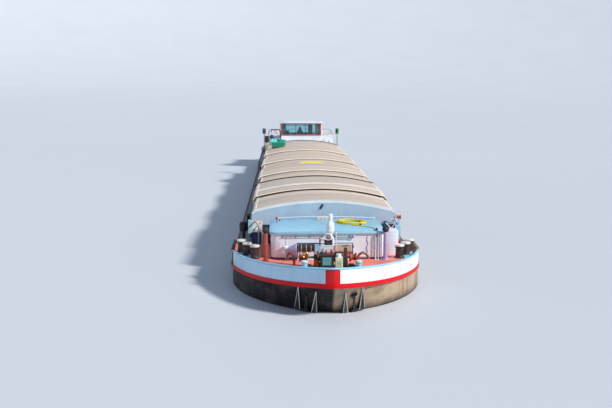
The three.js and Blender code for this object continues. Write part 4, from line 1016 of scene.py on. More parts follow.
def rope_line(radius):
    """The rope's middle: from the cleat over the roof, then round the coil in two layers."""
    pitch = 2 * radius + 0.0006
    start = (CLEAT_X - 0.05 - GAP, CLEAT_Y)
    lead = [start, *LEAD, (COIL_X + COIL + COIL_WIDTH + 0.03, COIL_Y)]
    line = [Vector((p.x, p.y, roof_height(p.y) + radius + 0.001)) for p in curve([(*p, 0) for p in lead], 6)]
    tilt = atan2(roof_height(COIL_Y + 0.5) - roof_height(COIL_Y - 0.5), 1)
    lay = placed((COIL_X, COIL_Y, roof_height(COIL_Y) + 0.0008), tilt, "X")
    outer = COIL + COIL_WIDTH - radius - 0.004
    low, high = radius + 0.001, 3 * radius + 0.003
    first, climb, second = 6.5, 0.5, 4.2
    inner = outer - first * pitch
    steps = 40
    for i in range(int((first + climb + second) * steps) + 1):
        wound = i / steps
        if wound <= first:
            reach, rise, loose = outer - wound * pitch, low, 0.0
        elif wound <= first + climb:
            share = (wound - first) / climb
            eased = share * share * (3 - 2 * share)
            reach, rise, loose = mixed(inner, inner + 0.05, share), mixed(low, high, eased), eased
        else:
            reach, rise, loose = inner + 0.05 + (wound - first - climb) * pitch, high, 1.0
        angle = -2 * pi * wound - 0.04
        reach += loose * (0.02 * sin(angle + 1.0) + 0.012 * sin(2 * angle))
        line.append(lay @ Vector((reach * cos(angle), reach * sin(angle), rise)))
    return line


class BARGE_OT_rope(bpy.types.Operator):
    """Mooring rope coiled down on the bow house roof"""
    bl_idname = "barge.rope"
    bl_label = "Mooring rope"

    def execute(self, context):
        radius = context.scene.barge_sizes.rope / 2
        line, whole = respaced(rope_line(radius), 0.03)
        form, lay = Form(), 3.6 * 2 * radius
        rings, side, run = [], None, 0.0
        for i, here in enumerate(line):
            ahead = (line[min(i + 1, len(line) - 1)] - line[max(i - 1, 0)]).normalized()
            side = ahead.orthogonal() if side is None else side
            side = (side - ahead * side.dot(ahead)).normalized()
            other = ahead.cross(side)
            run += (here - line[max(i - 1, 0)]).length
            ring = []
            for k, turn in enumerate(turns(9)):
                reach = radius * (1.0 if k % 3 else 0.8)
                twist = turn + 2 * pi * run / lay
                ring.append(here + reach * (cos(twist) * side + sin(twist) * other))
            rings.append(ring)
        form.skin(rings)
        rope = make_piece(form, "mooring_rope", "rope",
            replaces=("rope_coil", "rope_tail"), crease=75)
        way = (line[-1] - line[-3]).normalized()
        end = Form().rod(line[-1] - way * 0.08, line[-1] + way * 0.004, radius * 1.1, 14)
        whipping = make_piece(end, "rope_whipping", "canvas")
        dress("iron", "roof_cleat", edge=0.01)
        return {"FINISHED"}


def make_foredeck(steps):
    """Salmon deck inside the bulwark, with its raised seats and the hawse pipes."""
    form = Form()
    side = [(x, y, deck_height(x) + PLATE) for x, y in inset_line(BOW, BAND_INSET + BULWARK - 0.001,
        HOLD_FRONT + GAP, steps)]
    under = [(x, y, z - PLATE + 0.001) for x, y, z in side]
    decked(form, side)
    form.sheet([[*row, *((x, -y, z) for x, y, z in reversed(row[:-1]))] for row in (under, side)])
    make_piece(form, "foredeck_plate", "salmon", replaces=("foredeck",))
    seats = Form()
    windlass_seat = [(31.1, -1.4), (32.2, -1.4), (32.68, -0.95), (32.68, 0.95), (32.4, 1.2), (31.1, 1.2)]
    seats.prism("xy", windlass_seat, DECK + 0.01, SEAT_TOP)
    for x0, x1, y0, y1, top in ((30.42, 31.06, -0.32, 0.32, 3.14), (28.94, 29.24, -1.35, 1.1, 3.06)):
        seats.box(x0, x1, y0, y1, DECK + 0.01, top)
    make_piece(seats, "deck_seats", "salmon", edge=0.012)
    pipes = Form()
    for y in (0.62, -0.8):
        deck = deck_height(32.62)
        pipes.lathe([(0.1, 0.0), (0.17, 0.0), (0.17, 0.06), (0.13, 0.12), (0.1, 0.12), (0.1, 0.0)],
            (32.62, y, deck + 0.02), sides=24, soft=0.02)
    make_piece(pipes, "hawse_pipes", "iron")


def make_stern(steps):
    """Stern shell with its fin, stern tube, rubbing rail and bollards, and the white bulwark."""
    form = Form()
    hull_end(form, STERN_LINES, HOLD_AFT - GAP, lambda x: STERN_DECK, steps)
    fin = [(-25.5, 0.02), (-29.2, 0.3), (-29.7, 0.7), (-29.7, 1.58), (-25.5, 1.0)]
    form.prism("xz", fin, -0.09, 0.09)
    boss_end = SCREW_X + 0.26
    boss = [(0.075, 0.0), (0.13, 0.0), (0.16, 0.06), (0.16, 1.2), (0.11, 2.0), (0.075, 2.0), (0.075, 0.0)]
    form.lathe(boss, (boss_end, 0.0, SHAFT_Z), "x", 32)
    rail = [(0.5, -0.2), (0.03, -0.2), (0.0, -0.17), (0.0, -0.05), (0.03, -0.02), (0.5, -0.02)]
    strake(form, STERN, HOLD_AFT - GAP, rail, lambda x: STERN_DECK, steps)
    for side in (1, -1):
        for x, y in ((-31.75, 2.5), (-32.2, 2.1)):
            form.lathe(POST_PROFILE, (x, side * y, STERN_DECK), sides=24, ink=1)
    make_piece(form, "stern_shell", ["tar", "iron"], replaces=("hull_aft",))
    bulwark = Form()
    strake(bulwark, STERN, -26.2, [(0.08, GAP), (0.02, GAP), (0.02, 0.38), (0.08, 0.38)],
        lambda x: STERN_DECK, steps)
    capping = [(0.12, 0.375), (0.012, 0.375), (0.0, 0.39), (0.0, 0.43), (0.012, 0.44), (0.12, 0.44)]
    strake(bulwark, STERN, -26.2, capping, lambda x: STERN_DECK, steps, ink=1)
    make_piece(bulwark, "stern_bulwark_plate", ["white", "rail"],
        replaces=("stern_bulwark",))


def make_bow(steps):
    """Bow shell, the red belt, the white band and the light blue rail."""
    shell = Form()
    hull_end(shell, BOW_LINES, HOLD_FRONT + GAP, deck_height, steps)
    make_piece(shell, "bow_shell", "tar", replaces=("hull_fore",))
    belt = Form()
    flat = [(0.2, -0.7), (0.03, -0.7), (0.006, -0.685), (0.0, -0.66), (0.0, -0.56), (0.006, -0.535),
        (0.03, -0.52), (0.2, -0.52)]
    strake(belt, BOW, HOLD_FRONT, flat, rim_height, steps)
    tarred_aft(belt)
    make_piece(belt, "bow_belt_bar", ["red", "tar"], replaces=("bow_belt",))
    band = Form()
    upright = [(BAND_INSET + BULWARK, -0.52), (BAND_INSET, -0.52), (BAND_INSET, 0.0),
        (BAND_INSET + BULWARK, 0.0)]
    strake(band, BOW, HOLD_FRONT, upright, rim_height, steps)
    tarred_aft(band)
    make_piece(band, "bow_band_plate", ["white", "tar"], replaces=("bow_band",))
    rail = Form()
    round_bar = [(round(0.075 - 0.075 * cos(a), 4), 0.035 + 0.035 * sin(a)) for a in turns(12)]
    strake(rail, BOW, HOLD_FRONT, round_bar, rim_height, steps)
    tarred_aft(rail)
    make_piece(rail, "bow_rail_bar", ["rail", "tar"], replaces=("bow_rail",), crease=50)


class BARGE_OT_hull(bpy.types.Operator):
    """Hull shell, belts, rails and decks"""
    bl_idname = "barge.hull"
    bl_label = "Hull"

    def execute(self, context):
        steps = context.scene.barge_sizes.bow_steps
        make_bow(steps)
        make_foredeck(steps)
        make_stern(steps)
        dress("tar", "hull_bottom", "hull_side_port", "hull_side_starboard")
        return {"FINISHED"}


POST_PROFILE = round_profile([(0, 0), (0.15, 0), (0.15, 0.4), (0.18, 0.42), (0.18, 0.5), (0, 0.5)], 0.02)
BITT_PROFILE = round_profile([(0, 0), (0.09, 0), (0.09, 0.26), (0.115, 0.28), (0.115, 0.33), (0, 0.34)],
    0.012)


def make_side_decks():
    """Painted strips along both sides, and the stern deck."""
    form = Form()
    stations = [HOLD_AFT - 0.11, HOLD_AFT, HOLD_AFT + RAMP, HOLD_FRONT - RAMP, HOLD_FRONT]
    for side in (1, -1):
        form.skin([[(x, side * y, side_deck(x) + lift) for y, lift in ((3.3, 0.002), (4.0, 0.002),
            (4.0, 0.01), (3.3, 0.01))] for x in stations])
    stern = both_sides(side_line(3.98, -27.5, -33.34, 2.3, HOLD_AFT - 0.11, 24))
    form.prism("xy", stern, STERN_DECK + 0.0005, STERN_DECK + 0.004)
    make_piece(form, "walkways", "sidedeck")


def make_side_bitts():
    """Pairs of bitts along both sides."""
    posts = Form()
    for side in (1, -1):
        for x in (16.2, 2.2, -11.6):
            foot = side_deck(x) + 0.01
            posts.block(x, 0.42, side * 3.78, 0.13, foot, foot + 0.03)
            for shift in (-0.24, 0.24):
                posts.lathe(BITT_PROFILE, (x + shift, side * 3.78, foot + 0.03), sides=20)
    make_piece(posts, "side_bitts", "iron", crease=40)


class BARGE_OT_walkways(bpy.types.Operator):
    """Painted side decks and stern deck, and the bitts along them"""
    bl_idname = "barge.walkways"
    bl_label = "Walkways"

    def execute(self, context):
        make_side_decks()
        make_side_bitts()
        return {"FINISHED"}


def make_sheet(form, shape, x0, x1, steps, shoulder):
    """Arched sheet with its two skirts, and a cream trim along each shoulder."""
    half, low, thick = shape[0], COAMING_TOP + GAP, 0.05
    outer = [(half, low), *arch(shape, steps, shoulder=shoulder), (-half, low)]
    inner = [(half - thick, low),
        *[(y, z - thick) for y, z in arch(shape, steps, narrower=thick, shoulder=shoulder)],
        (-half + thick, low)]
    form.skin([[(x0, *a), (x1, *a), (x1, *b), (x0, *b)] for a, b in zip(outer, inner)])
    for side in (1, -1):
        y = side * (half - shoulder - 0.03)
        form.prism("yz", [(y + dy, arch_at(shape, y + dy) + dz) for dy, dz in ((-0.06, 0), (-0.04, 0.014),
            (0.04, 0.014), (0.06, 0), (0, -0.02))], x0 + 0.01, x1 - 0.01, ink=4)
        form.box(x0 + 0.02, x1 - 0.02, side * (half - 0.006), side * (half + 0.01), low + 0.002, low + 0.045)


def make_ribs(form, shape, ribs, steps, shoulder):
    """Raised ribs over the arch: low ones, a tall pale one that is a painted highlight, or a dark upstanding
    edge.
    """
    for x, kind in ribs.items():
        # The tall rib kind is painted cap white as a painted highlight across the cover.
        rise, wide, ink = {"low": (0.02, 0.05, 0), "painted_highlight": (0.05, 0.16, 3), "dark": (0.055, 0.03, 1)}[kind]
        below, above = (arch(shape, steps, lift, shoulder=shoulder) for lift in (-0.01, rise))
        form.skin([[(x - wide, *a), (x - wide + 0.02, *b), (x + wide - 0.02, *b), (x + wide, *a)]
            for a, b in zip(below, above)], ink=ink)


def make_seal(form, shape, x1, steps, shoulder, dark):
    """Front edge of a cover: a turned-down lip, painted lighter than the sheet to offset the shade on its
    forward face (painted light), and dark rubber on the second cover.
    """
    edge = arch(shape, steps, shoulder=shoulder)
    form.skin([[(x1 - 0.02, y, z + 0.006), (x1 + 0.006, y, z + 0.006), (x1 + 0.006, y, z - 0.066),
        (x1 - 0.02, y, z - 0.066)] for y, z in edge], ink=5)
    if dark:
        form.skin([[(x1 - 0.018, y, z - 0.03), (x1 + 0.01, y, z - 0.03), (x1 + 0.01, y, z - 0.068),
            (x1 - 0.018, y, z - 0.068)] for y, z in edge], ink=1)


def make_handles(form, half, x0, x1):
    """Flat plates with a lifting eye on either skirt."""
    low = COAMING_TOP + GAP
    for side in (1, -1):
        face, out = side * half, side * (half + 0.012)
        for x in (x0 + 0.5, x1 - 0.5):
            form.box(x - 0.14, x + 0.14, face, out, low + 0.05, low + 0.26, ink=2)
            form.tube(curve([(x - 0.09, face, low + 0.2), (x - 0.07, out + side * 0.005, low + 0.2),
                (x + 0.07, out + side * 0.005, low + 0.2), (x + 0.09, face, low + 0.2)], 4), 0.009, 8, ink=2)


def make_cover(number, shape, x0, x1, ribs, steps, shoulder):
    """One sliding cover, riding on its own body."""
    form = Form()
    make_sheet(form, shape, x0, x1, steps, shoulder)
    make_ribs(form, shape, ribs, steps, shoulder)
    make_seal(form, shape, x1, steps, shoulder, dark=number == 2)
    make_handles(form, shape[0], x0, x1)
    looks = ["hatch", "rubber", "steel", "cap", "cream_edge", "seal"]
    make_piece(form, f"cover_sheet_{number}", looks, f"cover_{number}",
        (f"hatch_cover_{number}",), crease=30)


def make_fixed_end(steps, shoulder):
    """The hatch's fixed end with the dinghy's chocks and the davit's socket."""
    form = Form()
    x0, x1 = COAMING_AFT + GAP, COVERS_END + LAP
    make_sheet(form, LOW_ARCH, x0, x1, steps, shoulder)
    make_ribs(form, LOW_ARCH, {COVERS_END - 0.4: "low", -12.2: "low", x0 + 0.05: "dark"}, steps, shoulder)
    sheet = [(DINGHY_Y + dy, arch_at(LOW_ARCH, DINGHY_Y + dy) - 0.02) for dy in (-0.5, -0.25, 0, 0.25, 0.5)]
    cradle = [(DINGHY_Y + dy, DINGHY_FOOT + dz) for dy, dz in ((0.5, 0.06), (0.385, -0.002), (-0.385, -0.002),
        (-0.5, 0.06))]
    for x in (DINGHY_X - 0.55, DINGHY_X + 0.55):
        form.prism("yz", [*sheet, *cradle], x - 0.04, x + 0.04, ink=5)
    base = arch_at(LOW_ARCH, DAVIT_Y) - 0.028
    socket = [(0.0, base), (0.13, base), (0.13, base + 0.07), (0.105, base + 0.1), (0.1, 5.27), (0.09, 5.28),
        (0.0612, 5.28), (0.0612, 4.8802), (0.0, 4.8802)]
    form.lathe(socket, (DAVIT_X, DAVIT_Y, 0), sides=24, ink=1)
    make_piece(form, "hatch_end_sheet", ["hatch", "rubber", "steel", "cap", "cream_edge", "mahogany"],
        replaces=("hatch_end_section",), crease=30)


def make_board(steps, shoulder):
    """Front board: blue-grey, with a white rim along its arch and a folded handle."""
    form = Form()
    x0, x1 = COAMING_FRONT + GAP, COAMING_FRONT + 0.06
    low, half = COAMING_TOP - 0.02, LOW_ARCH[0]
    top = arch(LOW_ARCH, steps, 0.02, shoulder=shoulder)
    form.skin([[(x0, y, low), (x1, y, low), (x1, y, z), (x0, y, z)]
        for y, z in [(half, top[0][1]), *top, (-half, top[-1][1])]])
    rim = [arch(LOW_ARCH, steps, lift, shoulder=shoulder) for lift in (0.028, -0.085)]
    form.skin([[(x0, *a), (x1 + 0.012, *a), (x1 + 0.012, *b), (x0, *b)] for a, b in zip(*rim)], ink=1)
    for y in (-2.1, -1.05, 1.05, 2.1):
        form.box(x1, x1 + 0.006, y - 0.012, y + 0.012, low + 0.02, arch_at(LOW_ARCH, y) - 0.1)
    plate = placed((x1, -0.1, 4.73), radians(-32), "X")
    form.box(-0.002, 0.014, -0.055, 0.055, -0.12, 0.12, ink=2, turn=plate)
    grip = curve([(0.0, 0.0, -0.09), (0.05, 0.0, -0.07), (0.05, 0.0, 0.07), (0.0, 0.0, 0.09)], 5)
    form.tube([plate @ p for p in grip], 0.02, 10, ink=2)
    make_piece(form, "front_board", ["board", "lip", "navy"],
        replaces=("hatch_front_board",), crease=30)


class BARGE_OT_hatch(bpy.types.Operator):
    """Sliding hatch covers, the fixed end, the front board and the coamings"""
    bl_idname = "barge.hatch"
    bl_label = "Hatch"

    def execute(self, context):
        steps, shoulder = context.scene.barge_sizes.arch_steps, context.scene.barge_sizes.shoulder
        ends = [front for front, _ in COVER_PAIRS[1:]] + [COVERS_END]
        for pair, ((front, seam), end) in enumerate(zip(COVER_PAIRS, ends)):
            low_front = front + (LAP if pair else -RUNNING_GAP)
            low_ribs = {front - 0.5: "low", (front + seam) / 2: "low", seam + 0.6: "low"}
            high_ribs = {seam - 0.06: "low", seam - 2.0: "low", end + 0.07: "low"}
            if pair == 0:
                # The first high cover carries the pale rib, a painted highlight.
                high_ribs = {seam - 0.06: "low", seam - 2.0: "painted_highlight", end + 0.07: "dark"}
            make_cover(2 * pair + 1, LOW_ARCH, seam - LAP, low_front, low_ribs, steps, shoulder)
            make_cover(2 * pair + 2, HIGH_ARCH, end + RUNNING_GAP, seam, high_ribs, steps, shoulder)
        make_fixed_end(steps, shoulder)
        make_board(steps, shoulder)
        dress("navy", "coaming_port", "coaming_starboard", "coaming_front", "coaming_aft")
        return {"FINISHED"}


class BARGE_OT_coaming_gear(bpy.types.Operator):
    """Gear at the hold's two front corners"""
    bl_idname = "barge.coaming_gear"
    bl_label = "Coaming gear"

    def execute(self, context):
        form = Form()
        x = COAMING_FRONT + 0.03
        form.box(x, x + 0.04, -3.38, -2.78, 3.56, 4.12, ink=3)
        form.box(x + 0.04, x + 0.05, -3.24, -2.82, 3.6, 4.08)
        form.box(x - 0.01, x + 0.1, -3.42, -3.3, 3.52, 4.14, ink=1)
        form.box(x + 0.04, x + 0.12, -3.1, -2.9, 3.6, 3.74)
        form.rod((x + 0.06, -3.2, 3.66), (x + 0.06, -2.86, 4.0), 0.016, 8, ink=5)
        drum = [(0, 0), (0.12, 0), (0.12, 0.04), (0.08, 0.06), (0.08, 0.55), (0.19, 0.6), (0.2, 0.86),
            (0.17, 0.98), (0, 1.02)]
        form.lathe(drum, (24.55, -3.66, side_deck(24.55)), sides=28, ink=7, soft=0.02)
        pipe = [(x, -3.1, 4.07), (x + 0.35, -3.05, 4.08), (26.6, -2.92, 4.1), (28.2, -2.72, 4.12),
            (28.9, -2.6, 4.1), (29.1, -2.57, 3.98)]
        form.tube(curve(pipe, 8), 0.045, 12, ink=3)
        for px, py in ((26.6, -2.92), (28.2, -2.72)):
            form.post(px, py, ON_DECK, 4.08, 0.025, 10, ink=2)
        form.box(x, x + 0.1, 3.36, 3.46, ON_DECK, 4.2, ink=4)
        form.box(x + 0.1, x + 0.14, 3.3, 3.5, 3.44, 3.86, ink=1)
        form.lathe([(0, -0.1), (0.09, -0.1), (0.09, -0.05), (0.06, -0.03), (0.06, 0.03), (0.09, 0.05),
            (0.09, 0.1), (0, 0.1)], (x + 0.06, 3.41, 4.24), "y", 20, ink=6, soft=0.01)
        for a, b in (((3.36, 4.1), (2.86, 3.5)), ((3.3, 3.5), (2.8, 4.0)), ((3.36, 4.16), (3.0, 4.16))):
            form.rod((x + 0.16, *a), (x + 0.16, *b), 0.02, 8)
        form.box(x, x + 0.16, 2.74, 2.86, ON_DECK, 4.06, ink=5)
        form.prism("yz", [(3.02, 3.1), (3.3, 3.1), (3.3, 3.34), (3.16, 3.62), (3.08, 3.62), (3.02, 3.4)],
            26.86, 27.0, ink=8)
        form.lathe([(0, 0), (0.1, 0), (0.1, 0.3), (0.06, 0.34), (0, 0.34)], (26.5, 3.1, ON_DECK), sides=22,
            ink=8, soft=0.02)
        make_piece(form, "coaming_gear", ["lip", "rail", "steel", "canvas", "rail", "navy", "orange", "dark",
            "lamp_red"], edge=0.006)
        return {"FINISHED"}


def make_roof():
    """Rail along the aft edge, lamp, knobs, a seam and a row of blocks."""
    form = Form()
    rail = [(25.66, y, roof_height(y) + 0.09) for y in (-2.14, -1.0, 0.0, 1.0, 2.3)]
    form.tube(curve(rail, 6), 0.022, 10)
    for y in (-2.1, -1.2, -0.3, 0.6, 1.5, 2.25):
        form.rod((25.66, y, roof_height(y) - 0.005), (25.66, y, roof_height(y) + 0.09), 0.014, 8)
    foot = roof_height(-2.12) - 0.004
    form.lathe([(0, 0), (0.045, 0), (0.045, 0.012), (0.016, 0.02), (0.016, 0.12), (0, 0.12)],
        (26.3, -2.12, foot), sides=16, ink=1, soft=0.004)
    form.lathe([(0, 0.11), (0.05, 0.115), (0.055, 0.15), (0.05, 0.22), (0.02, 0.25), (0, 0.25)],
        (26.3, -2.12, foot), sides=20, ink=2, soft=0.01)
    for x, y, r, high in ((27.4, 1.47, 0.06, 0.1), (25.9, -2.0, 0.04, 0.06)):
        form.lathe([(0, 0), (r, 0), (r, high * 0.3), (r * 0.4, high * 0.4), (r * 0.9, high * 0.7), (0, high)],
            (x, y, roof_height(y) - 0.003), sides=18, ink=3, soft=0.01)
    for x, y0, y1, wide, rise in ((27.42, -1.1, 1.34, 0.012, 0.012), (26.5, -2.3, -0.7, 0.012, 0.008),
            (28.2, -2.2, 1.9, 0.01, 0.008)):
        line = [y0 + (y1 - y0) * i / 12 for i in range(13)]
        form.skin([[(x + a, y, roof_height(y) + b) for a, b in ((-wide, -0.004), (wide, -0.004), (wide, rise),
            (-wide, rise))] for y in line], ink=4)
    for y in (-0.25, -0.08, 0.1, 0.3):
        high = roof_height(y) + 0.1
        form.box(25.88, 26.02, y - 0.07, y + 0.07, roof_height(y) - 0.02, high, ink=5)
        form.box(25.87, 26.03, y - 0.08, y + 0.08, high, high + 0.015)
    make_piece(form, "bow_roof_gear", ["lip", "steel", "lamp_red", "iron", "roof", "canvas"], edge=0.005)


def make_front():
    """Rails, pipes, conduit, lamp and the day-signal cone at the house's front."""
    form = Form()
    wall = HOUSE_FRONT
    form.rod((wall + 0.06, -1.91, 4.0), (wall + 0.06, -0.2, 4.0), 0.018, 10)
    form.rod((wall + 0.06, 0.24, 3.95), (wall + 0.06, 0.97, 3.95), 0.022, 10, ink=4)
    for y in (-1.88, -1.32, -0.76, -0.23, 0.3, 0.9):
        form.rod((wall - 0.005, y, 3.98), (wall + 0.06, y, 3.98), 0.012, 8)
        form.box(wall - 0.005, wall + 0.01, y - 0.03, y + 0.03, 3.94, 4.02)
    form.ball((wall + 0.08, 0.27, 3.96), 0.05, ink=3, sides=16)
    form.ball((wall + 0.08, 1.07, 4.0), 0.06, ink=2, sides=16)
    form.lathe(drum(0.035, -0.06, 0.06), (wall + 0.06, 2.02, 4.0), "x", 14, ink=3, soft=0.008)
    wavy = [(wall + 0.012, 1.66, 4.02), (wall + 0.02, 1.63, 3.85), (wall + 0.02, 1.68, 3.7),
        (wall + 0.02, 1.62, 3.52), (wall + 0.02, 1.66, 3.36), (wall + 0.012, 1.64, 3.2)]
    form.tube(curve(wavy, 6), 0.014, 10, ink=2)
    for x, y, top in ((28.88, 1.98, 4.05), (28.88, 2.1, 4.3), (28.84, 2.22, 4.05)):
        form.lathe([(0, 0), (0.05, 0), (0.05, 0.012), (0.022, 0.018), (0.022, top - 3.05), (0, top - 3.04)],
            (x, y, ON_DECK), sides=14, ink=1, soft=0.004)
        form.box(wall - 0.16, x + 0.01, y - 0.012, y + 0.012, 3.6, 3.63, ink=1)
    lamp = [(0, 0), (0.07, 0), (0.075, 0.05), (0.05, 0.12), (0.11, 0.26), (0.115, 0.34), (0, 0.36)]
    form.lathe(lamp, (wall + 0.16, -1.75, 3.28), sides=24, ink=1, soft=0.012)
    form.post(wall + 0.16, -1.75, 3.62, 4.0, 0.008, 8, ink=3)
    form.box(wall - 0.005, wall + 0.16, -1.78, -1.72, 3.3, 3.34, ink=1)
    form.post(wall + 0.16, -1.75, ON_DECK, 3.3, 0.02, 10, ink=1)
    cone = placed((29.1, -1.3, 3.5), radians(94), "X")
    form.lathe([(0.24, 0.0), (0.25, 0.012), (0.242, 0.03), (0.05, 0.44), (0.02, 0.46), (0.0, 0.462)],
        sides=36, ink=2, turn=cone)
    form.lathe([(0.0, 0.02), (0.23, 0.005), (0.24, 0.0)], sides=36, ink=5, turn=cone)
    make_piece(form, "bow_house_front_gear", ["steel", "lip", "lilac", "iron", "turquoise", "navy"],
        crease=40)


def make_sides():
    """Portholes, and the fittings of the door."""
    form = Form()
    for x, side in ((26.9, 1), (26.2, -1), (27.2, -1), (28.1, -1)):
        face = side * HOUSE_HALF
        ring = [(0.085, -0.002), (0.085, 0.018), (0.1, 0.026), (0.125, 0.018), (0.13, 0.0)]
        form.lathe([(r, side * t) for r, t in ring], (x, face, 3.72), "y", 32)
        form.lathe([(0.0, side * 0.004), (0.09, side * 0.004)], (x, face, 3.72), "y", 32, ink=1)
        for a in turns(6):
            form.lathe([(0, side * 0.018), (0.011, side * 0.018), (0.009, side * 0.03), (0, side * 0.032)],
                (x + 0.112 * cos(a), face, 3.72 + 0.112 * sin(a)), "y", 10)
    make_piece(form, "bow_house_portholes", ["brass", "dark"], crease=40)
    door = Form()
    face = HOUSE_HALF
    door.box(26.5, 26.58, face - 0.002, face + 0.012, 3.46, 3.66)
    door.tube(curve([(26.54, face, 3.6), (26.54, face + 0.04, 3.6), (26.46, face + 0.045, 3.6),
        (26.4, face + 0.04, 3.595)], 5), 0.01, 10)
    door.border("xz", 26.08, 26.57, 3.24, 3.92, 0.02, face - 0.002, face + 0.006, ink=2)
    door.lathe([(0.05, 0.0), (0.05, 0.012), (0.07, 0.012), (0.075, 0.0)], (26.33, face, 3.78), "y", 28, ink=1)
    door.lathe([(0.0, 0.003), (0.052, 0.003)], (26.33, face, 3.78), "y", 28, ink=3)
    make_piece(door, "bow_door_fittings", ["steel", "brass", "house", "dark"], "bow_door", edge=0.002)


def make_trim():
    """Skirting, cornice, and a panel with its latch on the house's front and on the locker."""
    trim = Form()
    trim.wrap(house_plan, [(-0.01, 3.032), (0.012, 3.032), (0.012, 3.1), (-0.01, 3.11)])
    trim.wrap(house_plan, [(-0.01, 4.03), (0.016, 4.035), (0.016, 4.099), (-0.01, 4.099)], ink=1)
    trim.border("yz", 1.0, 2.0, 3.16, 3.94, 0.02, HOUSE_FRONT - 0.005, HOUSE_FRONT + 0.012, ink=1)
    trim.box(HOUSE_FRONT - 0.005, HOUSE_FRONT + 0.006, 1.0, 2.0, 3.16, 3.94, ink=1)
    trim.box(HOUSE_FRONT + 0.004, HOUSE_FRONT + 0.03, 1.03, 1.09, 3.5, 3.62, ink=2)
    trim.border("xz", 27.33, 27.92, 3.2, 3.96, 0.015, 3.036, 3.05, ink=1)
    trim.box(27.6, 27.66, 3.04, 3.07, 3.66, 3.78, ink=2)
    make_piece(trim, "bow_house_trim", ["navy", "lip", "steel"], edge=0.004)


class BARGE_OT_bow_house(bpy.types.Operator):
    """Bow house, its roof and door, and the small gear on and around it"""
    bl_idname = "barge.bow_house"
    bl_label = "Bow house"

    def execute(self, context):
        dress("house", "bow_house", edge=0.008)
        dress("roof", "bow_house_roof", edge=0.012)
        dress("house", "bow_house_door", "port_locker", edge=0.012)
        make_trim()
        make_roof()
        make_front()
        make_sides()
        return {"FINISHED"}


VENT_FOOT = [(0, 0), (0.14, 0), (0.14, 0.03), (0.095, 0.045)]


def make_mast():
    """Folding column with the searchlight, and the gear that stands beside it."""
    form, x = Form(), MAST_X
    column = [(0, MAST_PIN - 0.16), (0.07, MAST_PIN - 0.16), (0.07, 3.6), (0.065, 3.62), (0.065, 3.9),
        (0.1, 3.92), (0.15, 3.98), (0.15, 4.3), (0.09, 4.34), (0.075, 4.42), (0.15, 4.56), (0.155, 4.68),
        (0.15, 4.8), (0.12, 4.88), (0.07, 4.98), (0.085, 5.06), (0.085, MAST_TOP - 0.04), (0.05, MAST_TOP),
        (0, MAST_TOP)]
    form.lathe(column, (x, 0, 0), sides=36, soft=0.02)
    form.lathe(drum(0.09, -0.089, 0.089), (x, 0, MAST_PIN), "y", 28, ink=1, soft=0.01)
    pin = drum(0.035, -0.16, 0.16)
    form.lathe(pin, (x, 0, MAST_PIN), "y", 20, ink=2, soft=0.008)
    for z in (4.02, 4.26, 4.6, 4.76):
        form.lathe([(0.14, -0.012), (0.156, -0.008), (0.156, 0.008), (0.14, 0.012)], (x, 0, z), sides=36)
    form.box(x + 0.1, x + 0.22, -0.24, 0.06, 3.94, 4.24, ink=3)
    form.box(x + 0.22, x + 0.235, -0.2, 0.02, 3.98, 4.2, ink=4)
    form.lathe([(0, -0.1), (0.08, -0.09), (0.135, -0.03), (0.135, 0.09), (0.125, 0.12), (0.11, 0.1),
        (0, 0.1)], (x + 0.2, -0.1, 4.37), "x", 30, ink=6, soft=0.012)
    form.lathe([(0, 0.09), (0.108, 0.09), (0.104, 0.104), (0.06, 0.116), (0, 0.12)], (x + 0.2, -0.1, 4.37),
        "x", 30, ink=5)
    for z in (4.05, 4.2):
        form.rod((x + 0.05, -0.08, z), (x + 0.08, -0.42, z + 0.02), 0.016, 10, ink=2)
    form.box(x + 0.04, x + 0.12, -0.44, -0.38, 4.0, 4.28, ink=2)
    form.box(x + 0.07, x + 0.13, -0.09, 0.09, 3.66, 3.88, ink=1)
    make_piece(form, "mast_column", ["lip", "steel", "steel", "iron", "dark", "steel", "cap"], "mast",
        replaces=("foremast",), crease=32)
    near = Form()
    near.box(x + 0.26, x + 0.46, -0.29, 0.1, 3.82, 4.03)
    near.box(x + 0.25, x + 0.47, -0.3, 0.11, 4.03, 4.045)
    near.box(x + 0.24, x + 0.48, -0.26, 0.14, 3.62, 3.82, ink=3)
    near.box(x + 0.26, x + 0.3, -0.16, 0.04, 3.14, 3.62, ink=2)
    near.box(x + 0.22, x + 0.31, -0.2, 0.08, 3.13, 3.16, ink=2)
    near.post(x + 0.2, 0.21, 3.14, 4.5, 0.016, 12)
    near.ball((x + 0.2, 0.21, 4.51), 0.024, sides=12)
    near.lathe([(0, 3.13), (0.05, 3.13), (0.05, 3.155), (0, 3.16)], (x + 0.2, 0.21, 0), sides=16)
    make_piece(near, "mast_side_gear", ["lip", "canvas", "iron", "salmon"], edge=0.01)
    dress("iron", "foremast_foot", edge=0.01)


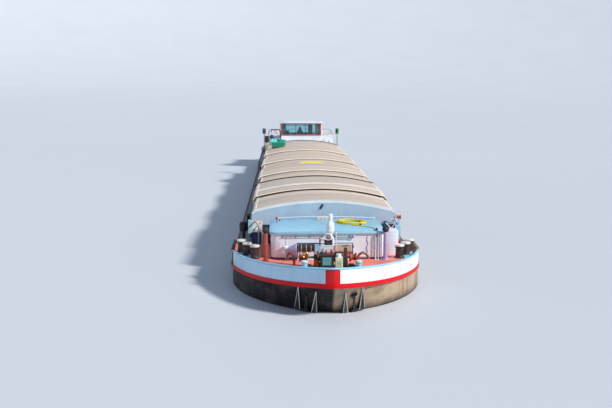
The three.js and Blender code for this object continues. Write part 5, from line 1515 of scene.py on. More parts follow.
def make_vents():
    """A ball-topped vent and a gooseneck on either side."""
    top = [(0.09, 4.2), (0.05, 4.22)]
    # The port vent is white; its lavender paint is painted shade.
    for name, x, y, looks in (("port", 28.95, 2.38, ["lilac", "dark"]),
            ("starboard", 29.16, -2.56, ["brick", "dark"])):
        form = Form()
        foot = [(r, ON_DECK + z) for r, z in VENT_FOOT]
        form.lathe([*foot, (0.09, 3.12), (0.09, 3.7), (0.098, 3.71), (0.098, 3.76), (0.09, 3.77), *top,
            (0, 4.22)], (x, y, 0), sides=32, soft=0.01)
        form.ball((x, y, 4.31), 0.14, ink=1, sides=28)
        form.hoop((x, y, 4.31), 0.138, 0.012, "z", 28, 8, ink=1)
        for a in turns(6):
            form.lathe(drum(0.014, 0.03, 0.045), (x + 0.117 * cos(a), y + 0.117 * sin(a), ON_DECK), sides=6)
        make_piece(form, f"vent_{name}", looks, replaces=(f"vent_post_{name}",), crease=40)
    high = 3.6
    for name, y0, y1, looks in (("port", 1.13, 1.53, ["brick", "turquoise"]),
            ("starboard", -1.41, -1.69, ["oxide", "oxide"])):
        form = Form()
        bend = [(30.3, y0, ON_DECK), (30.3, y0, high - 0.22), (30.3, mixed(y0, y1, 0.12), high - 0.08),
            (30.3, mixed(y0, y1, 0.5), high), (30.3, mixed(y0, y1, 0.88), high - 0.08),
            (30.3, y1, high - 0.2)]
        form.tube(curve(bend, 7), 0.052, 18)
        form.tube(curve([(30.3, y, z + 0.01) for _, y, z in bend[2:5]], 7), 0.05, 18, ink=1)
        form.lathe([(0, 0), (0.12, 0), (0.12, 0.02), (0.07, 0.03), (0, 0.03)], (30.3, y0, ON_DECK), sides=20,
            soft=0.006)
        form.lathe([(0.05, -0.01), (0.085, -0.01), (0.085, 0.03), (0.05, 0.03)], (30.3, y1, high - 0.23),
            sides=20)
        make_piece(form, f"gooseneck_{name}", looks, crease=40)


def make_racks():
    """Racks on the deck and what stands on them."""
    dress("lip", "deck_racks", edge=0.01)
    form = Form()
    form.rod((29.12, -1.22, 3.56), (29.12, -0.58, 3.6), 0.14, 24)
    for y in (-1.1, -0.9, -0.7):
        form.hoop((29.12, y, 3.575), 0.143, 0.014, "y", 24, 8, ink=1)
    form.box(29.17, 29.19, -0.55, -0.3, 3.4, 3.74, ink=2)
    form.box(29.05, 29.3, 0.26, 0.96, 3.44, 3.74, ink=3)
    for i in range(12):
        y = 0.3 + i * 0.056
        form.box(29.295, 29.315, y, y + 0.03, 3.46, 3.73, ink=3)
    form.box(29.04, 29.31, 0.25, 0.97, 3.74, 3.76, ink=4)
    for y0, y1 in ((-1.28, -0.3), (0.2, 1.02)):
        form.box(29.15, 29.18, y0, y1, 3.74, 3.79, ink=5)
        for y in (y0 + 0.02, y1 - 0.02):
            form.box(29.15, 29.175, y - 0.02, y + 0.02, 3.1, 3.76, ink=5)
    form.box(29.14, 29.4, 0.2, 1.02, 3.4, 3.44, ink=5)
    form.post(29.38, 0.3, 3.06, 3.42, 0.015, 8, ink=5)
    form.post(29.38, 0.92, 3.06, 3.42, 0.015, 8, ink=5)
    make_piece(form, "rack_contents", ["dark", "canvas", "rail", "canvas", "lip", "navy"], edge=0.006)


class BARGE_OT_deck_gear(bpy.types.Operator):
    """Folding foremast with its searchlight, vents, goosenecks and the racks"""
    bl_idname = "barge.deck_gear"
    bl_label = "Deck gear"

    def execute(self, context):
        make_mast()
        make_vents()
        make_racks()
        return {"FINISHED"}


def toothed(teeth, root, tip):
    """Outline of a gear wheel."""
    points = []
    for i in range(teeth):
        for share, reach in ((0.0, root), (0.22, root), (0.34, tip), (0.66, tip), (0.78, root)):
            turn = 2 * pi * (i + share) / teeth
            points.append((reach * cos(turn), reach * sin(turn)))
    return points


def make_windlass():
    """Bed, cheeks, motor, gearbox and brake."""
    form, x, z = Form(), WINDLASS_X, WINDLASS_Z
    form.box(31.18, 32.24, -1.3, 1.0, SEAT_TOP, 3.28)
    for y in (-1.3, 0.94):
        form.box(31.18, 32.24, y, y + 0.06, 3.28, 3.31)
    for y in (-0.62, -0.12, 0.42):
        cheek = [(x - 0.3, 3.28), (x + 0.3, 3.28), (x + 0.2, 3.5), (x + 0.13, z + 0.06), (x + 0.07, z + 0.13),
            (x - 0.07, z + 0.13), (x - 0.13, z + 0.06), (x - 0.2, 3.5)]
        form.prism("xz", cheek, y - 0.04, y + 0.04, ink=1)
        form.lathe([(0.052, -0.055), (0.1, -0.055), (0.1, 0.055), (0.052, 0.055), (0.052, -0.055)], (x, y, z),
            "y", 28, ink=1, soft=0.01)
        form.block(x, 0.34, y, 0.07, 3.28, 3.305, ink=1)
        for way in (-1, 1):
            for side in (-1, 1):
                form.lathe([(0, 0), (0.018, 0), (0.018, 0.02), (0, 0.022)],
                    (x + way * 0.3, y + side * 0.055, 3.3), sides=6, ink=6)
    form.box(31.93, 32.2, -0.45, 0.05, 3.28, 3.86, ink=2)
    form.border("yz", -0.37, -0.03, 3.5, 3.81, 0.025, 32.195, 32.215, ink=2)
    form.box(32.195, 32.207, -0.37, -0.03, 3.5, 3.81, ink=3)
    form.box(31.9, 32.22, -0.48, 0.08, 3.86, 3.885, ink=2)
    form.box(31.93, 32.18, 0.12, 0.4, 3.28, 3.78, ink=4)
    form.box(32.178, 32.19, 0.15, 0.37, 3.34, 3.72, ink=4)
    for i in range(5):
        form.box(32.186, 32.194, 0.18, 0.34, 3.4 + i * 0.055, 3.42 + i * 0.055, ink=6)
    form.lathe(drum(0.1, 0.77, 0.9), (32.02, 0.25, 3.0), sides=20, ink=8, soft=0.01)
    form.rod((31.93, -0.2, z), (31.78, -0.2, z), 0.07, 20, ink=6)
    form.box(31.2, 31.32, 0.5, 0.62, 3.28, 3.98, ink=1)
    form.post(31.26, 0.56, 3.96, 4.06, 0.018, 10, ink=6)
    form.hoop((31.26, 0.56, 4.06), 0.15, 0.014, "z", 32, 10, ink=6)
    for a in turns(5):
        form.rod((31.26, 0.56, 4.06), (31.26 + 0.15 * cos(a), 0.56 + 0.15 * sin(a), 4.06), 0.009, 8, ink=6)
    form.box(31.66, 31.9, 0.47, 0.6, 3.28, 3.7, ink=2)
    form.ball((31.98, -0.57, 3.5), 0.13, ink=7, sides=24)
    form.lathe([(0, 0), (0.1, 0), (0.08, 0.14), (0, 0.14)], (31.98, -0.57, 3.28), sides=20, ink=2)
    for y0, high in ((0.62, 3.52), (-1.0, 3.5)):
        form.box(31.94, 32.16, y0, y0 + 0.22, 3.28, high, ink=2)
    looks = ["dark", "rusty", "dark", "turquoise", "pale_green", "orange", "steel", "orange", "lip"]
    make_piece(form, "windlass_bed", looks, replaces=("windlass_frame",), edge=0.006,
        crease=32)


def make_gears():
    """Drums, chain wheels, gear wheels, brake bands and warping ends on one shaft."""
    form, x, z = Form(), WINDLASS_X, WINDLASS_Z
    form.lathe(drum(0.0495, -1.24, 0.96), (x, 0, z), "y", 20, ink=1)
    parts = [
        ([(0.05, -1.24), (0.165, -1.24), (0.17, -1.2), (0.12, -1.16), (0.11, -1.1), (0.11, -1.02),
          (0.17, -0.96), (0.17, -0.92), (0.05, -0.92)], 2),
        ([(0.05, -0.56), (0.24, -0.56), (0.24, -0.5), (0.15, -0.48), (0.15, -0.24), (0.28, -0.22),
          (0.28, -0.18), (0.05, -0.18)], 0),
        ([(0.05, -0.06), (0.1, -0.06), (0.12, -0.04), (0.2, -0.02), (0.2, 0.02), (0.12, 0.04), (0.1, 0.06),
          (0.05, 0.06)], 3),
        ([(0.05, 0.06), (0.17, 0.06), (0.17, 0.3), (0.24, 0.32), (0.24, 0.36), (0.05, 0.36)], 0),
        ([(0.05, 0.68), (0.165, 0.68), (0.17, 0.72), (0.11, 0.78), (0.11, 0.84), (0.12, 0.88), (0.17, 0.92),
          (0.165, 0.96), (0.05, 0.96)], 2)]
    for profile, ink in parts:
        form.lathe(profile, (x, 0, z), "y", 40, ink=ink, soft=0.012)
    for y0, y1, teeth, root, tip in ((-0.035, 0.035, 40, 0.265, 0.3), (0.56, 0.6, 24, 0.14, 0.165)):
        shaft_side = [(x + u, z + v) for u, v in toothed(teeth, root, tip)]
        form.prism("xz", shaft_side, y0, y1, ink=3)
    for y in (-0.36, 0.18):
        form.hoop((x, y, z), 0.165, 0.03, "y", 36, 10, ink=4)
        for a in turns(6):
            form.box(-0.03, 0.03, y - 0.05, y + 0.05, 0.15, 0.21, ink=4, turn=placed((x, 0, z), a, "Y"))
    form.hoop((x + 0.24, -1.0, z + 0.14), 0.1, 0.022, "x", 32, 10, ink=5)
    form.rod((x + 0.04, -1.0, z + 0.04), (x + 0.24, -1.0, z + 0.14), 0.03, 14, ink=5)
    for a in turns(3):
        form.rod((x + 0.24, -1.0, z + 0.14), (x + 0.24, -1.0 + 0.1 * cos(a), z + 0.14 + 0.1 * sin(a)), 0.011,
            8, ink=5)
    form.lathe(drum(0.06, -1.26, -1.23), (x, 0, z), "y", 24, ink=5, soft=0.008)
    for y in (-0.36, 0.18):
        path = [(x + 0.08, y, z + 0.2), (x + 0.2, y, z + 0.08), (x + 0.24, y, z - 0.12),
            (x + 0.3, y * 1.15, z - 0.28), (x + 0.36, y * 1.3, 3.3)]
        form.chain(curve(path, 5), 0.024, ink=6)
    looks = ["rusty", "steel", "orange", "orange", "iron", "brass", "iron"]
    make_piece(form, "windlass_wheels", looks, replaces=("windlass_drums",), crease=32)


def make_posts():
    """Bollards by the house, and the light blue bitts at the stem."""
    profile = [(0.21, 0.02), (0.21, 0.05), (0.185, 0.07), (0.17, 0.12), (0.165, 0.4), (0.165, 0.42),
        (0.2, 0.45), (0.2, 0.5)]
    plate = [(27.06, 3.42), (28.05, 3.14), (28.42, 2.84), (28.75, 3.24), (28.05, 3.6), (27.35, 3.82),
        (27.1, 3.82)]
    for name, side in (("port", 1), ("starboard", -1)):
        form = Form()
        form.prism("xy", [(x, side * y) for x, y in plate], ON_DECK, ON_DECK + 0.04, ink=2)
        for x, y in ((27.3, 3.62), (28.0, 3.36), (28.55, 3.02)):
            form.lathe([(0, 0.02), *profile, (0.17, 0.5), (0.17, 0.49), (0, 0.49)], (x, side * y, ON_DECK),
                sides=36, soft=0.012)
            form.lathe([(0.12, 0.48), (0.2, 0.495), (0.2, 0.56), (0.185, 0.57), (0, 0.575)],
                (x, side * y, ON_DECK), sides=36, ink=1, soft=0.015)
        make_piece(form, f"bollards_{name}", ["iron", "cap", "rail"], replaces=(f"bow_bollards_{name}",),
            crease=40)
    bitts = Form()
    foot = SEAT_TOP + GAP
    bitts.box(32.28, 32.5, -1.12, 1.04, foot, foot + 0.03)
    for y in (-1.05, 0.97):
        bitts.lathe([(0, 0.02), (0.15, 0.02), (0.15, 0.05), (0.115, 0.08), (0.11, 0.3), (0.11, 0.4),
            (0.135, 0.41), (0.135, 0.46), (0.12, 0.47), (0, 0.475)], (32.42, y, foot), sides=32, soft=0.01)
        bitts.lathe([(0, 0.47), (0.125, 0.468), (0.12, 0.49), (0, 0.495)], (32.42, y, foot), sides=32, ink=1)
    make_piece(bitts, "stem_bitts", ["rail", "cap"], replaces=("bow_bitts",), edge=0.006, crease=40)


def make_anchor(name, y):
    """Stockless anchor hauled up against the bow, in the shell's own frame."""
    middle = bow_surface(y, 2.14)
    out = (bow_surface(y, 2.14 - 0.01) - middle).cross(bow_surface(y + 0.01, 2.14) - middle).normalized()
    out = out if out.x > 0 else -out
    up = (bow_surface(y, 2.24) - middle).normalized()
    up = (up - out * up.dot(out)).normalized()
    across = up.cross(out)
    place = Matrix(((across.x, up.x, out.x, middle.x), (across.y, up.y, out.y, middle.y),
        (across.z, up.z, out.z, middle.z), (0, 0, 0, 1)))
    form = Form()
    for way in (-1, 1):
        base = [place @ Vector((way * u, -0.42, w)) for u, w in ((0.2, 0.02), (0.5, 0.02), (0.46, 0.13),
            (0.24, 0.13))]
        reach = place @ Vector((way * 0.36, 0.74, 0.0))
        point = bow_surface(reach.y, reach.z)
        tip = [point + across * u + out * w for u, w in ((-0.006, 0.0), (0.006, 0.0), (0.006, 0.03),
            (-0.006, 0.03))]
        form.skin([base, tip])
        # Pale rods along each fluke's edges: painted highlights.
        form.rod(base[3], tip[3], 0.012, 8, ink=3)
        form.rod(base[2], tip[2], 0.008, 8, ink=3)
    crown = [(-0.48, -0.46, 0.07), (0.48, -0.46, 0.07)]
    form.rod(*[place @ Vector(p) for p in crown], 0.075, 24)
    form.box(-0.11, 0.11, -0.56, -0.3, 0.02, 0.17, turn=place)
    shank = [place @ Vector(p) for p in ((0, -0.44, 0.1), (0, 0.0, 0.09), (0, 0.34, 0.07))]
    form.tube(shank, 0.055, 16, end_radius=0.04)
    form.hoop((0, 0.36, 0.07), 0.07, 0.02, "x", 24, 10, turn=place)
    form.hoop((0, 0.44, 0.02), 0.13, 0.03, "z", 36, 12, ink=2, turn=place)
    form.lathe([(0, 0.012), (0.12, 0.012)], (0, 0.44, 0), sides=28, turn=place)
    make_piece(form, f"anchor_{name}_cast", ["anchor", "steel", "anchor", "cap"],
        replaces=(f"anchor_{name}",), crease=32)


class BARGE_OT_ground_tackle(bpy.types.Operator):
    """Windlass, its chains, the bollards, the bitts and the anchors"""
    bl_idname = "barge.ground_tackle"
    bl_label = "Ground tackle"

    def execute(self, context):
        make_windlass()
        make_gears()
        make_posts()
        for name, y in (("port", 0.77), ("starboard", -0.95)):
            make_anchor(name, y)
        return {"FINISHED"}


def make_inside():
    """Floor, helm, screens, the plain pad and back of the seat, cabinets and curtain rail."""
    form = Form()
    form.box(CABIN_AFT + 0.08, CABIN_FRONT - 0.08, -2.0, 2.0, 4.151, 4.158)
    hub = Vector((-23.92, -0.09, 4.92))
    form.hoop(hub, 0.3, 0.018, "x", 40, 10)
    form.rod(hub, hub + Vector((0.16, 0, 0)), 0.03, 16, ink=3)
    form.lathe(drum(0.05, -0.03, 0.03), hub, "x", 20, ink=3, soft=0.01)
    for a in turns(8):
        reach = Vector((0, cos(a), sin(a)))
        form.rod(hub, hub + reach * 0.42, 0.014, 10)
        form.ball(hub + reach * 0.42, 0.022, sides=10)
    for y0, y1 in ((-0.9, -0.5), (0.25, 0.62)):
        screen = placed((-23.5, (y0 + y1) / 2, 5.08), radians(20), "Y")
        form.box(-0.03, 0.03, -(y1 - y0) / 2, (y1 - y0) / 2, -0.08, 0.2, ink=2, turn=screen)
    form.box(-24.68, -24.18, -0.26, 0.26, 4.68, 4.8, ink=1)
    back = placed((-24.7, 0, 4.8), radians(-6), "Y")
    rounded = [(-0.3, 0.0), (0.3, 0.0), (0.3, 0.4), (0.24, 0.62), (0.14, 0.72), (0.12, 0.94), (0.06, 1.0),
        (-0.06, 1.0), (-0.12, 0.94), (-0.14, 0.72), (-0.24, 0.62), (-0.3, 0.4)]
    form.prism("yz", [(u - 0.09, v) for u, v in rounded], -0.06, 0.06, ink=1, turn=back)
    for y in (-0.36, 0.3):
        form.box(-24.66, -24.26, y - 0.03, y + 0.03, 4.96, 5.02, ink=1)
        form.post(-24.6, y, 4.72, 4.98, 0.018, 10, ink=3)
    form.box(-25.5, -25.16, 0.78, 1.22, 4.158, 6.0, ink=2)
    form.box(-25.5, -25.3, -1.62, -1.2, 4.158, 5.42, ink=2)
    form.box(-25.5, -25.2, -0.6, 0.5, 4.158, 5.1)
    form.rod((-25.45, -1.5, 5.92), (-25.45, 0.76, 5.92), 0.02, 10)
    form.box(-24.0, -23.94, 1.66, 1.86, 4.158, 6.24)
    make_piece(form, "wheelhouse_inside", ["door", "dark", "dark", "brass"], edge=0.012, crease=40)


def make_outside():
    """Grab rails along the walls and the roof, and a drip edge under each eave."""
    form = Form()
    half, low = CABIN_HALF + 0.12, CABIN_TOP
    for side in (1, -1):
        y = side * (CABIN_HALF + 0.06)
        form.rod((-25.4, y, 5.02), (-24.74, y, 5.02), 0.016, 10)
        form.rod((-23.9, y, 5.02), (-23.1, y, 5.02), 0.016, 10)
        for x in (-25.36, -24.78, -23.86, -23.14):
            form.rod((x, side * CABIN_HALF, 5.02), (x, y, 5.02), 0.011, 8)
        form.box(CABIN_AFT - 0.05, CABIN_FRONT + 0.05, side * (half - 0.09), side * (half - 0.05), low - 0.03,
            low + 0.02, ink=1)
    for side in (1, -1):
        y, foot = side * 1.72, arch_at((CABIN_HALF + 0.12, CABIN_ROOF - 0.06, CABIN_ROOF), 1.72) - 0.01
        form.rod((-25.2, y, foot + 0.034), (-23.4, y, foot + 0.034), 0.011, 10)
        for x in (-25.1, -24.3, -23.5):
            form.post(x, y, foot, foot + 0.034, 0.009, 8)
    make_piece(form, "wheelhouse_outside", ["steel", "lip"], edge=0.006, crease=40)


def make_panes():
    """Panes with their frames and bars, and the wiper."""
    panes = Form()
    out, wall = CABIN_HALF, 0.035
    for side in (1, -1):
        for x0, x1 in ((-23.82, -23.14), (-25.48, -24.8)):
            panes.box(x0, x1, side * (out - wall - 0.006), side * (out - wall + 0.006), WINDOW_LOW,
                WINDOW_HIGH, ink=1)
            panes.border("xz", x0, x1, WINDOW_LOW, WINDOW_HIGH, 0.06, side * (out - 0.002),
                side * (out + 0.022))
    panes.box(CABIN_AFT + wall - 0.006, CABIN_AFT + wall + 0.006, -1.5, 1.5, WINDOW_LOW + 0.05, WINDOW_HIGH,
        ink=1)
    panes.border("yz", -1.5, 1.5, WINDOW_LOW + 0.05, WINDOW_HIGH, 0.06, CABIN_AFT - 0.022, CABIN_AFT + 0.002)
    for y in (-0.5, 0.5):
        panes.box(CABIN_AFT - 0.01, CABIN_AFT + 0.06, y - 0.03, y + 0.03, WINDOW_LOW + 0.05, WINDOW_HIGH)
    panes.box(CABIN_FRONT + 0.052, CABIN_FRONT + 0.07, 0.02, 0.04, WINDOW_LOW + 0.02, WINDOW_LOW + 0.62,
        ink=2)
    panes.box(CABIN_FRONT + 0.05, CABIN_FRONT + 0.08, -0.02, 0.08, WINDOW_LOW - 0.06, WINDOW_LOW, ink=2)
    make_piece(panes, "wheelhouse_windows", ["mahogany", "glass", "dark"], edge=0.004)


def make_leaves():
    """Window, panel, lock and lever of the two doors."""
    out = CABIN_HALF
    for name, side in (("port", 1), ("starboard", -1)):
        leaf = Form()
        leaf.box(-24.54, -24.12, side * (out - 0.02), side * (out - 0.03), WINDOW_LOW, WINDOW_HIGH - 0.1)
        leaf.border("xz", -24.54, -24.12, WINDOW_LOW, WINDOW_HIGH - 0.1, 0.03, side * (out - 0.002),
            side * (out + 0.008), ink=1)
        leaf.border("xz", -24.5, -24.16, 4.36, 4.96, 0.03, side * (out - 0.002), side * (out + 0.008), ink=1)
        leaf.box(-24.1, -24.05, side * (out - 0.002), side * (out + 0.01), 4.98, 5.1, ink=2)
        lever = [(-24.075, side * out, 5.05), (-24.075, side * (out + 0.045), 5.05),
            (-24.14, side * (out + 0.05), 5.05), (-24.2, side * (out + 0.045), 5.04)]
        leaf.tube(curve(lever, 5), 0.01, 10, ink=2)
        make_piece(leaf, f"wheelhouse_leaf_{name}", ["glass", "door", "brass"], f"wheelhouse_{name}_door",
            edge=0.002)


class BARGE_OT_wheelhouse(bpy.types.Operator):
    """Wheelhouse: mahogany frames, panes, doors, helm, desk and seat"""
    bl_idname = "barge.wheelhouse"
    bl_label = "Wheelhouse"

    def execute(self, context):
        dress("house", "wheelhouse", edge=0.008)
        dress("lip", "wheelhouse_roof", edge=0.02)
        dress("mahogany", "wheelhouse_window_frame", edge=0.012)
        dress("glass", "wheelhouse_glass")
        dress("door", "wheelhouse_console", edge=0.015)
        dress("door", "wheelhouse_door_port", "wheelhouse_door_starboard", edge=0.008)
        make_panes()
        make_leaves()
        make_inside()
        make_outside()
        return {"FINISHED"}


def make_aft_fittings():
    """Windows, mouldings, roof rails, a canvas box, a skylight and two vents."""
    form = Form()
    for side in (1, -1):
        for x in (-30.1, -28.7, -27.3):
            form.box(x - 0.45, x + 0.45, side * 3.3, side * 3.312, 3.85, 4.45, ink=1)
            form.border("xz", x - 0.45, x + 0.45, 3.85, 4.45, 0.06, side * (AFT_HALF - 0.002),
                side * (AFT_HALF + 0.022))
            form.box(x - 0.015, x + 0.015, side * 3.3, side * 3.36, 3.85, 4.45)
        for z in (3.2, 4.6):
            form.box(AFT_END, AFT_FRONT, side * (AFT_HALF - 0.002), side * (AFT_HALF + 0.012), z, z + 0.06,
                ink=3)
    form.box(AFT_END + 0.034, AFT_END + 0.046, 0.5, 2.4, 3.85, 4.45, ink=1)
    form.border("yz", 0.5, 2.4, 3.85, 4.45, 0.06, AFT_END - 0.022, AFT_END + 0.002)
    form.box(AFT_END - 0.012, AFT_END + 0.06, 1.435, 1.465, 3.85, 4.45)
    for side in (1, -1):
        y = side * 3.32
        form.rod((AFT_END - 0.02, y, 5.24), (AFT_FRONT, y, 5.24), 0.018, 10, ink=2)
        for i in range(5):
            x = mixed(AFT_END + 0.1, AFT_FRONT - 0.2, i / 4)
            form.post(x, y, 4.795, 5.24, 0.014, 8, ink=2)
    form.rod((AFT_END - 0.02, -3.32, 5.24), (AFT_END - 0.02, 3.32, 5.24), 0.018, 10, ink=2)
    for y in (-2.2, -1.1, 0.0, 1.1, 2.2):
        form.post(AFT_END - 0.02, y, 4.795, 5.24, 0.014, 8, ink=2)
    form.box(-27.35, -26.75, 2.5, 3.05, 4.79, 5.1, ink=4)
    form.box(-27.37, -26.73, 2.48, 3.07, 5.1, 5.13, ink=3)
    form.box(-29.2, -28.0, -0.6, 0.6, 4.79, 4.96, ink=3)
    form.box(-29.15, -28.05, -0.55, 0.55, 4.96, 4.972, ink=1)
    for x, y in ((-30.2, 2.4), (-30.2, -2.4)):
        form.lathe([(0, 0), (0.12, 0), (0.12, 0.02), (0.07, 0.03), (0.07, 0.26), (0.16, 0.3), (0.14, 0.36),
            (0, 0.38)], (x, y, 4.795), sides=28, ink=3, soft=0.01)
    make_piece(form, "aft_house_fittings", ["mahogany", "glass", "steel", "lip", "canvas"], edge=0.006,
        crease=40)


def make_aft_door():
    """Lever, lock and panels of the aft door."""
    door = Form()
    face = AFT_END
    door.box(face - 0.01, face + 0.002, -0.56, -0.5, 3.8, 3.96)
    lever = [(face, -0.53, 3.9), (face - 0.045, -0.53, 3.9), (face - 0.05, -0.6, 3.9),
        (face - 0.045, -0.66, 3.89)]
    door.tube(curve(lever, 5), 0.01, 10)
    for z0, z1 in ((3.26, 3.7), (4.06, 4.54)):
        door.border("yz", -1.06, -0.62, z0, z1, 0.03, face - 0.008, face + 0.002, ink=1)
    make_piece(door, "aft_door_fittings", ["brass", "door"], "aft_door", edge=0.002)


class BARGE_OT_aft_house(bpy.types.Operator):
    """Aft house with its windows, door, rails and roof gear"""
    bl_idname = "barge.aft_house"
    bl_label = "Aft house"

    def execute(self, context):
        dress("house", "aft_house", edge=0.01)
        dress("lip", "aft_house_roof", edge=0.012)
        dress("door", "aft_house_door", edge=0.01)
        make_aft_fittings()
        make_aft_door()
        return {"FINISHED"}


def dinghy_ring(share, breadth, sheer, keel, grow=0.0, lift=0.0):
    """A section of the dinghy: port gunwale, round the bilge and keel, to the starboard gunwale."""
    half = DINGHY_BEAM / 2 * breadth + grow
    low, high = DINGHY_FOOT + keel - grow + lift, DINGHY_FOOT + DINGHY_DEPTH + sheer
    x = DINGHY_X + DINGHY_LENGTH / 2 + grow - (DINGHY_LENGTH + 2 * grow) * share
    side = [(half, high), (half * 0.985, mixed(low, high, 0.7)), (half * 0.94, mixed(low, high, 0.4)),
        (half * 0.8, mixed(low, high, 0.12)), (half * 0.55, low), (half * 0.2, low - 0.004)]
    line = curve([(x, y, z) for y, z in [*side, *((-y, z) for y, z in reversed(side))]], 4)
    return [Vector((p.x, p.y + DINGHY_Y, p.z)) for p in line]


DINGHY_LINES = [(0.0, 0.8, 0.0, 0.04), (0.3, 0.97, 0.0, 0.0), (0.6, 0.96, 0.02, 0.0),
    (0.85, 0.66, 0.07, 0.08), (1.0, 0.2, 0.12, 0.24)]


def make_davit():
    """Curved arm of the davit, with its brace, block and hook."""
    form, x, y = Form(), DAVIT_X, DAVIT_Y
    form.lathe([(0, 4.8806), (0.06, 4.8806), (0.06, 5.2806), (0.1, 5.2808), (0.1, 5.32), (0.066, 5.34),
        (0.06, 5.44), (0.06, 5.5), (0, 5.5)], (x, y, 0), sides=28, ink=1, soft=0.006)
    arm = [(x, y, 5.46), (x, y, 5.8), (x, y, 6.04), (x, y - 0.06, 6.17), (x, y - 0.2, 6.235),
        (x, y - 0.5, 6.24), (x, y - DAVIT_ARM + 0.02, 6.235)]
    form.tube(curve(arm, 6), 0.058, 18, end_radius=0.042)
    form.rod((x, y - 0.02, 5.62), (x, y - 0.6, 6.22), 0.024, 12)
    for z in (5.5, 5.86):
        form.lathe([(0.05, -0.02), (0.072, -0.016), (0.072, 0.016), (0.05, 0.02)], (x, y, z), sides=28)
    end = (x, y - DAVIT_ARM + 0.06, 6.12)
    form.lathe([(0, -0.022), (0.07, -0.022), (0.055, -0.008), (0.055, 0.008), (0.07, 0.022), (0, 0.022)], end,
        "x", 24, ink=1, soft=0.006)
    for side in (-1, 1):
        form.block(x + side * 0.03, 0.006, end[1], 0.03, 6.04, 6.22, ink=1)
    form.post(x, end[1], 6.06, 5.92, 0.008, 8, ink=1)
    hook = [(x, end[1], 5.94), (x, end[1] + 0.02, 5.88), (x, end[1], 5.83), (x, end[1] - 0.035, 5.83),
        (x, end[1] - 0.045, 5.87)]
    form.tube(curve(hook, 5), 0.012, 10, ink=1, end_radius=0.006)
    form.lathe([(0, -0.05), (0.04, -0.05), (0.055, -0.03), (0.055, 0.03), (0.04, 0.05), (0, 0.05)],
        (x + 0.1, y, 5.68), "x", 20, ink=2, soft=0.006)
    form.tube([(x + 0.12, y, 5.68), (x + 0.17, y, 5.68), (x + 0.17, y, 5.82)], 0.012, 10, ink=2)
    make_piece(form, "davit_arm_bent", ["rusty", "steel", "iron"], "davit_arm", replaces=("davit",),
        crease=40)


def make_dinghy():
    """The dinghy inside and out, with gunwales, keel, thwarts, oars and rowlocks."""
    sections = [tuple(p) for p in curve([(a, b, c) for a, b, c, _ in DINGHY_LINES], 5)]
    keels = [p.x for p in curve([(d, 0, 0) for *_, d in DINGHY_LINES], 5)]
    form = Form()
    outer = [dinghy_ring(*section, max(0.0, keel)) for section, keel in zip(sections, keels)]
    inner = [dinghy_ring(*section, max(0.0, keel), -0.035, 0.05) for section, keel in zip(sections, keels)]
    form.sheet(outer)
    form.sheet(inner, ink=1)
    for a, b in ((outer[0], inner[0]), (outer[-1], inner[-1])):
        form.sheet([a, b])
        form.lid(a)
    form.lid(inner[0], ink=1)
    for end in (0, -1):
        rim = [[a[end], b[end]] for a, b in zip(outer, inner)]
        form.sheet(rim, ink=2)
        form.tube([ring[end] + Vector((0, 0, 0.004)) for ring in outer], 0.026, 12, ink=2)
    form.rod(outer[0][0], outer[0][-1], 0.022, 12, ink=2)
    form.rod(outer[-1][0], outer[-1][-1], 0.024, 12, ink=2)
    keel = [(0.5 * (ring[len(ring) // 2] + ring[len(ring) // 2 - 1])) for ring in outer[:-2]]
    form.tube([p + Vector((0, 0, 0.004)) for p in keel], 0.014, 8, ink=2)
    for x, half in ((DINGHY_X - 0.3, 0.645), (DINGHY_X + 0.45, 0.62)):
        form.block(x, 0.1, DINGHY_Y, half, DINGHY_FOOT + 0.28, DINGHY_FOOT + 0.315, ink=3)
    for side in (1, -1):
        form.rod((DINGHY_X + 0.8, DINGHY_Y + side * 0.16, DINGHY_FOOT + 0.345),
            (DINGHY_X - 0.6, DINGHY_Y + side * 0.2, DINGHY_FOOT + 0.34), 0.02, 12, ink=3)
        blade = [(DINGHY_X + 0.78, DINGHY_Y + side * 0.12), (DINGHY_X + 0.99, DINGHY_Y + side * 0.1),
            (DINGHY_X + 0.99, DINGHY_Y + side * 0.22), (DINGHY_X + 0.78, DINGHY_Y + side * 0.2)]
        form.prism("xy", blade, DINGHY_FOOT + 0.335, DINGHY_FOOT + 0.35, ink=3)
        form.hoop((DINGHY_X + 0.1, DINGHY_Y + side * 0.685, DINGHY_FOOT + 0.52), 0.03, 0.008, "x", 16, 8,
            ink=4)
    looks = ["dinghy", "aqua", "aqua", "door", "steel"]
    make_piece(form, "dinghy_hull", looks, replaces=("dinghy",), crease=38)


class BARGE_OT_boat(bpy.types.Operator):
    """Dinghy on the hatch with its oars, and the davit"""
    bl_idname = "barge.boat"
    bl_label = "Boat and davit"

    def execute(self, context):
        make_dinghy()
        make_davit()
        return {"FINISHED"}


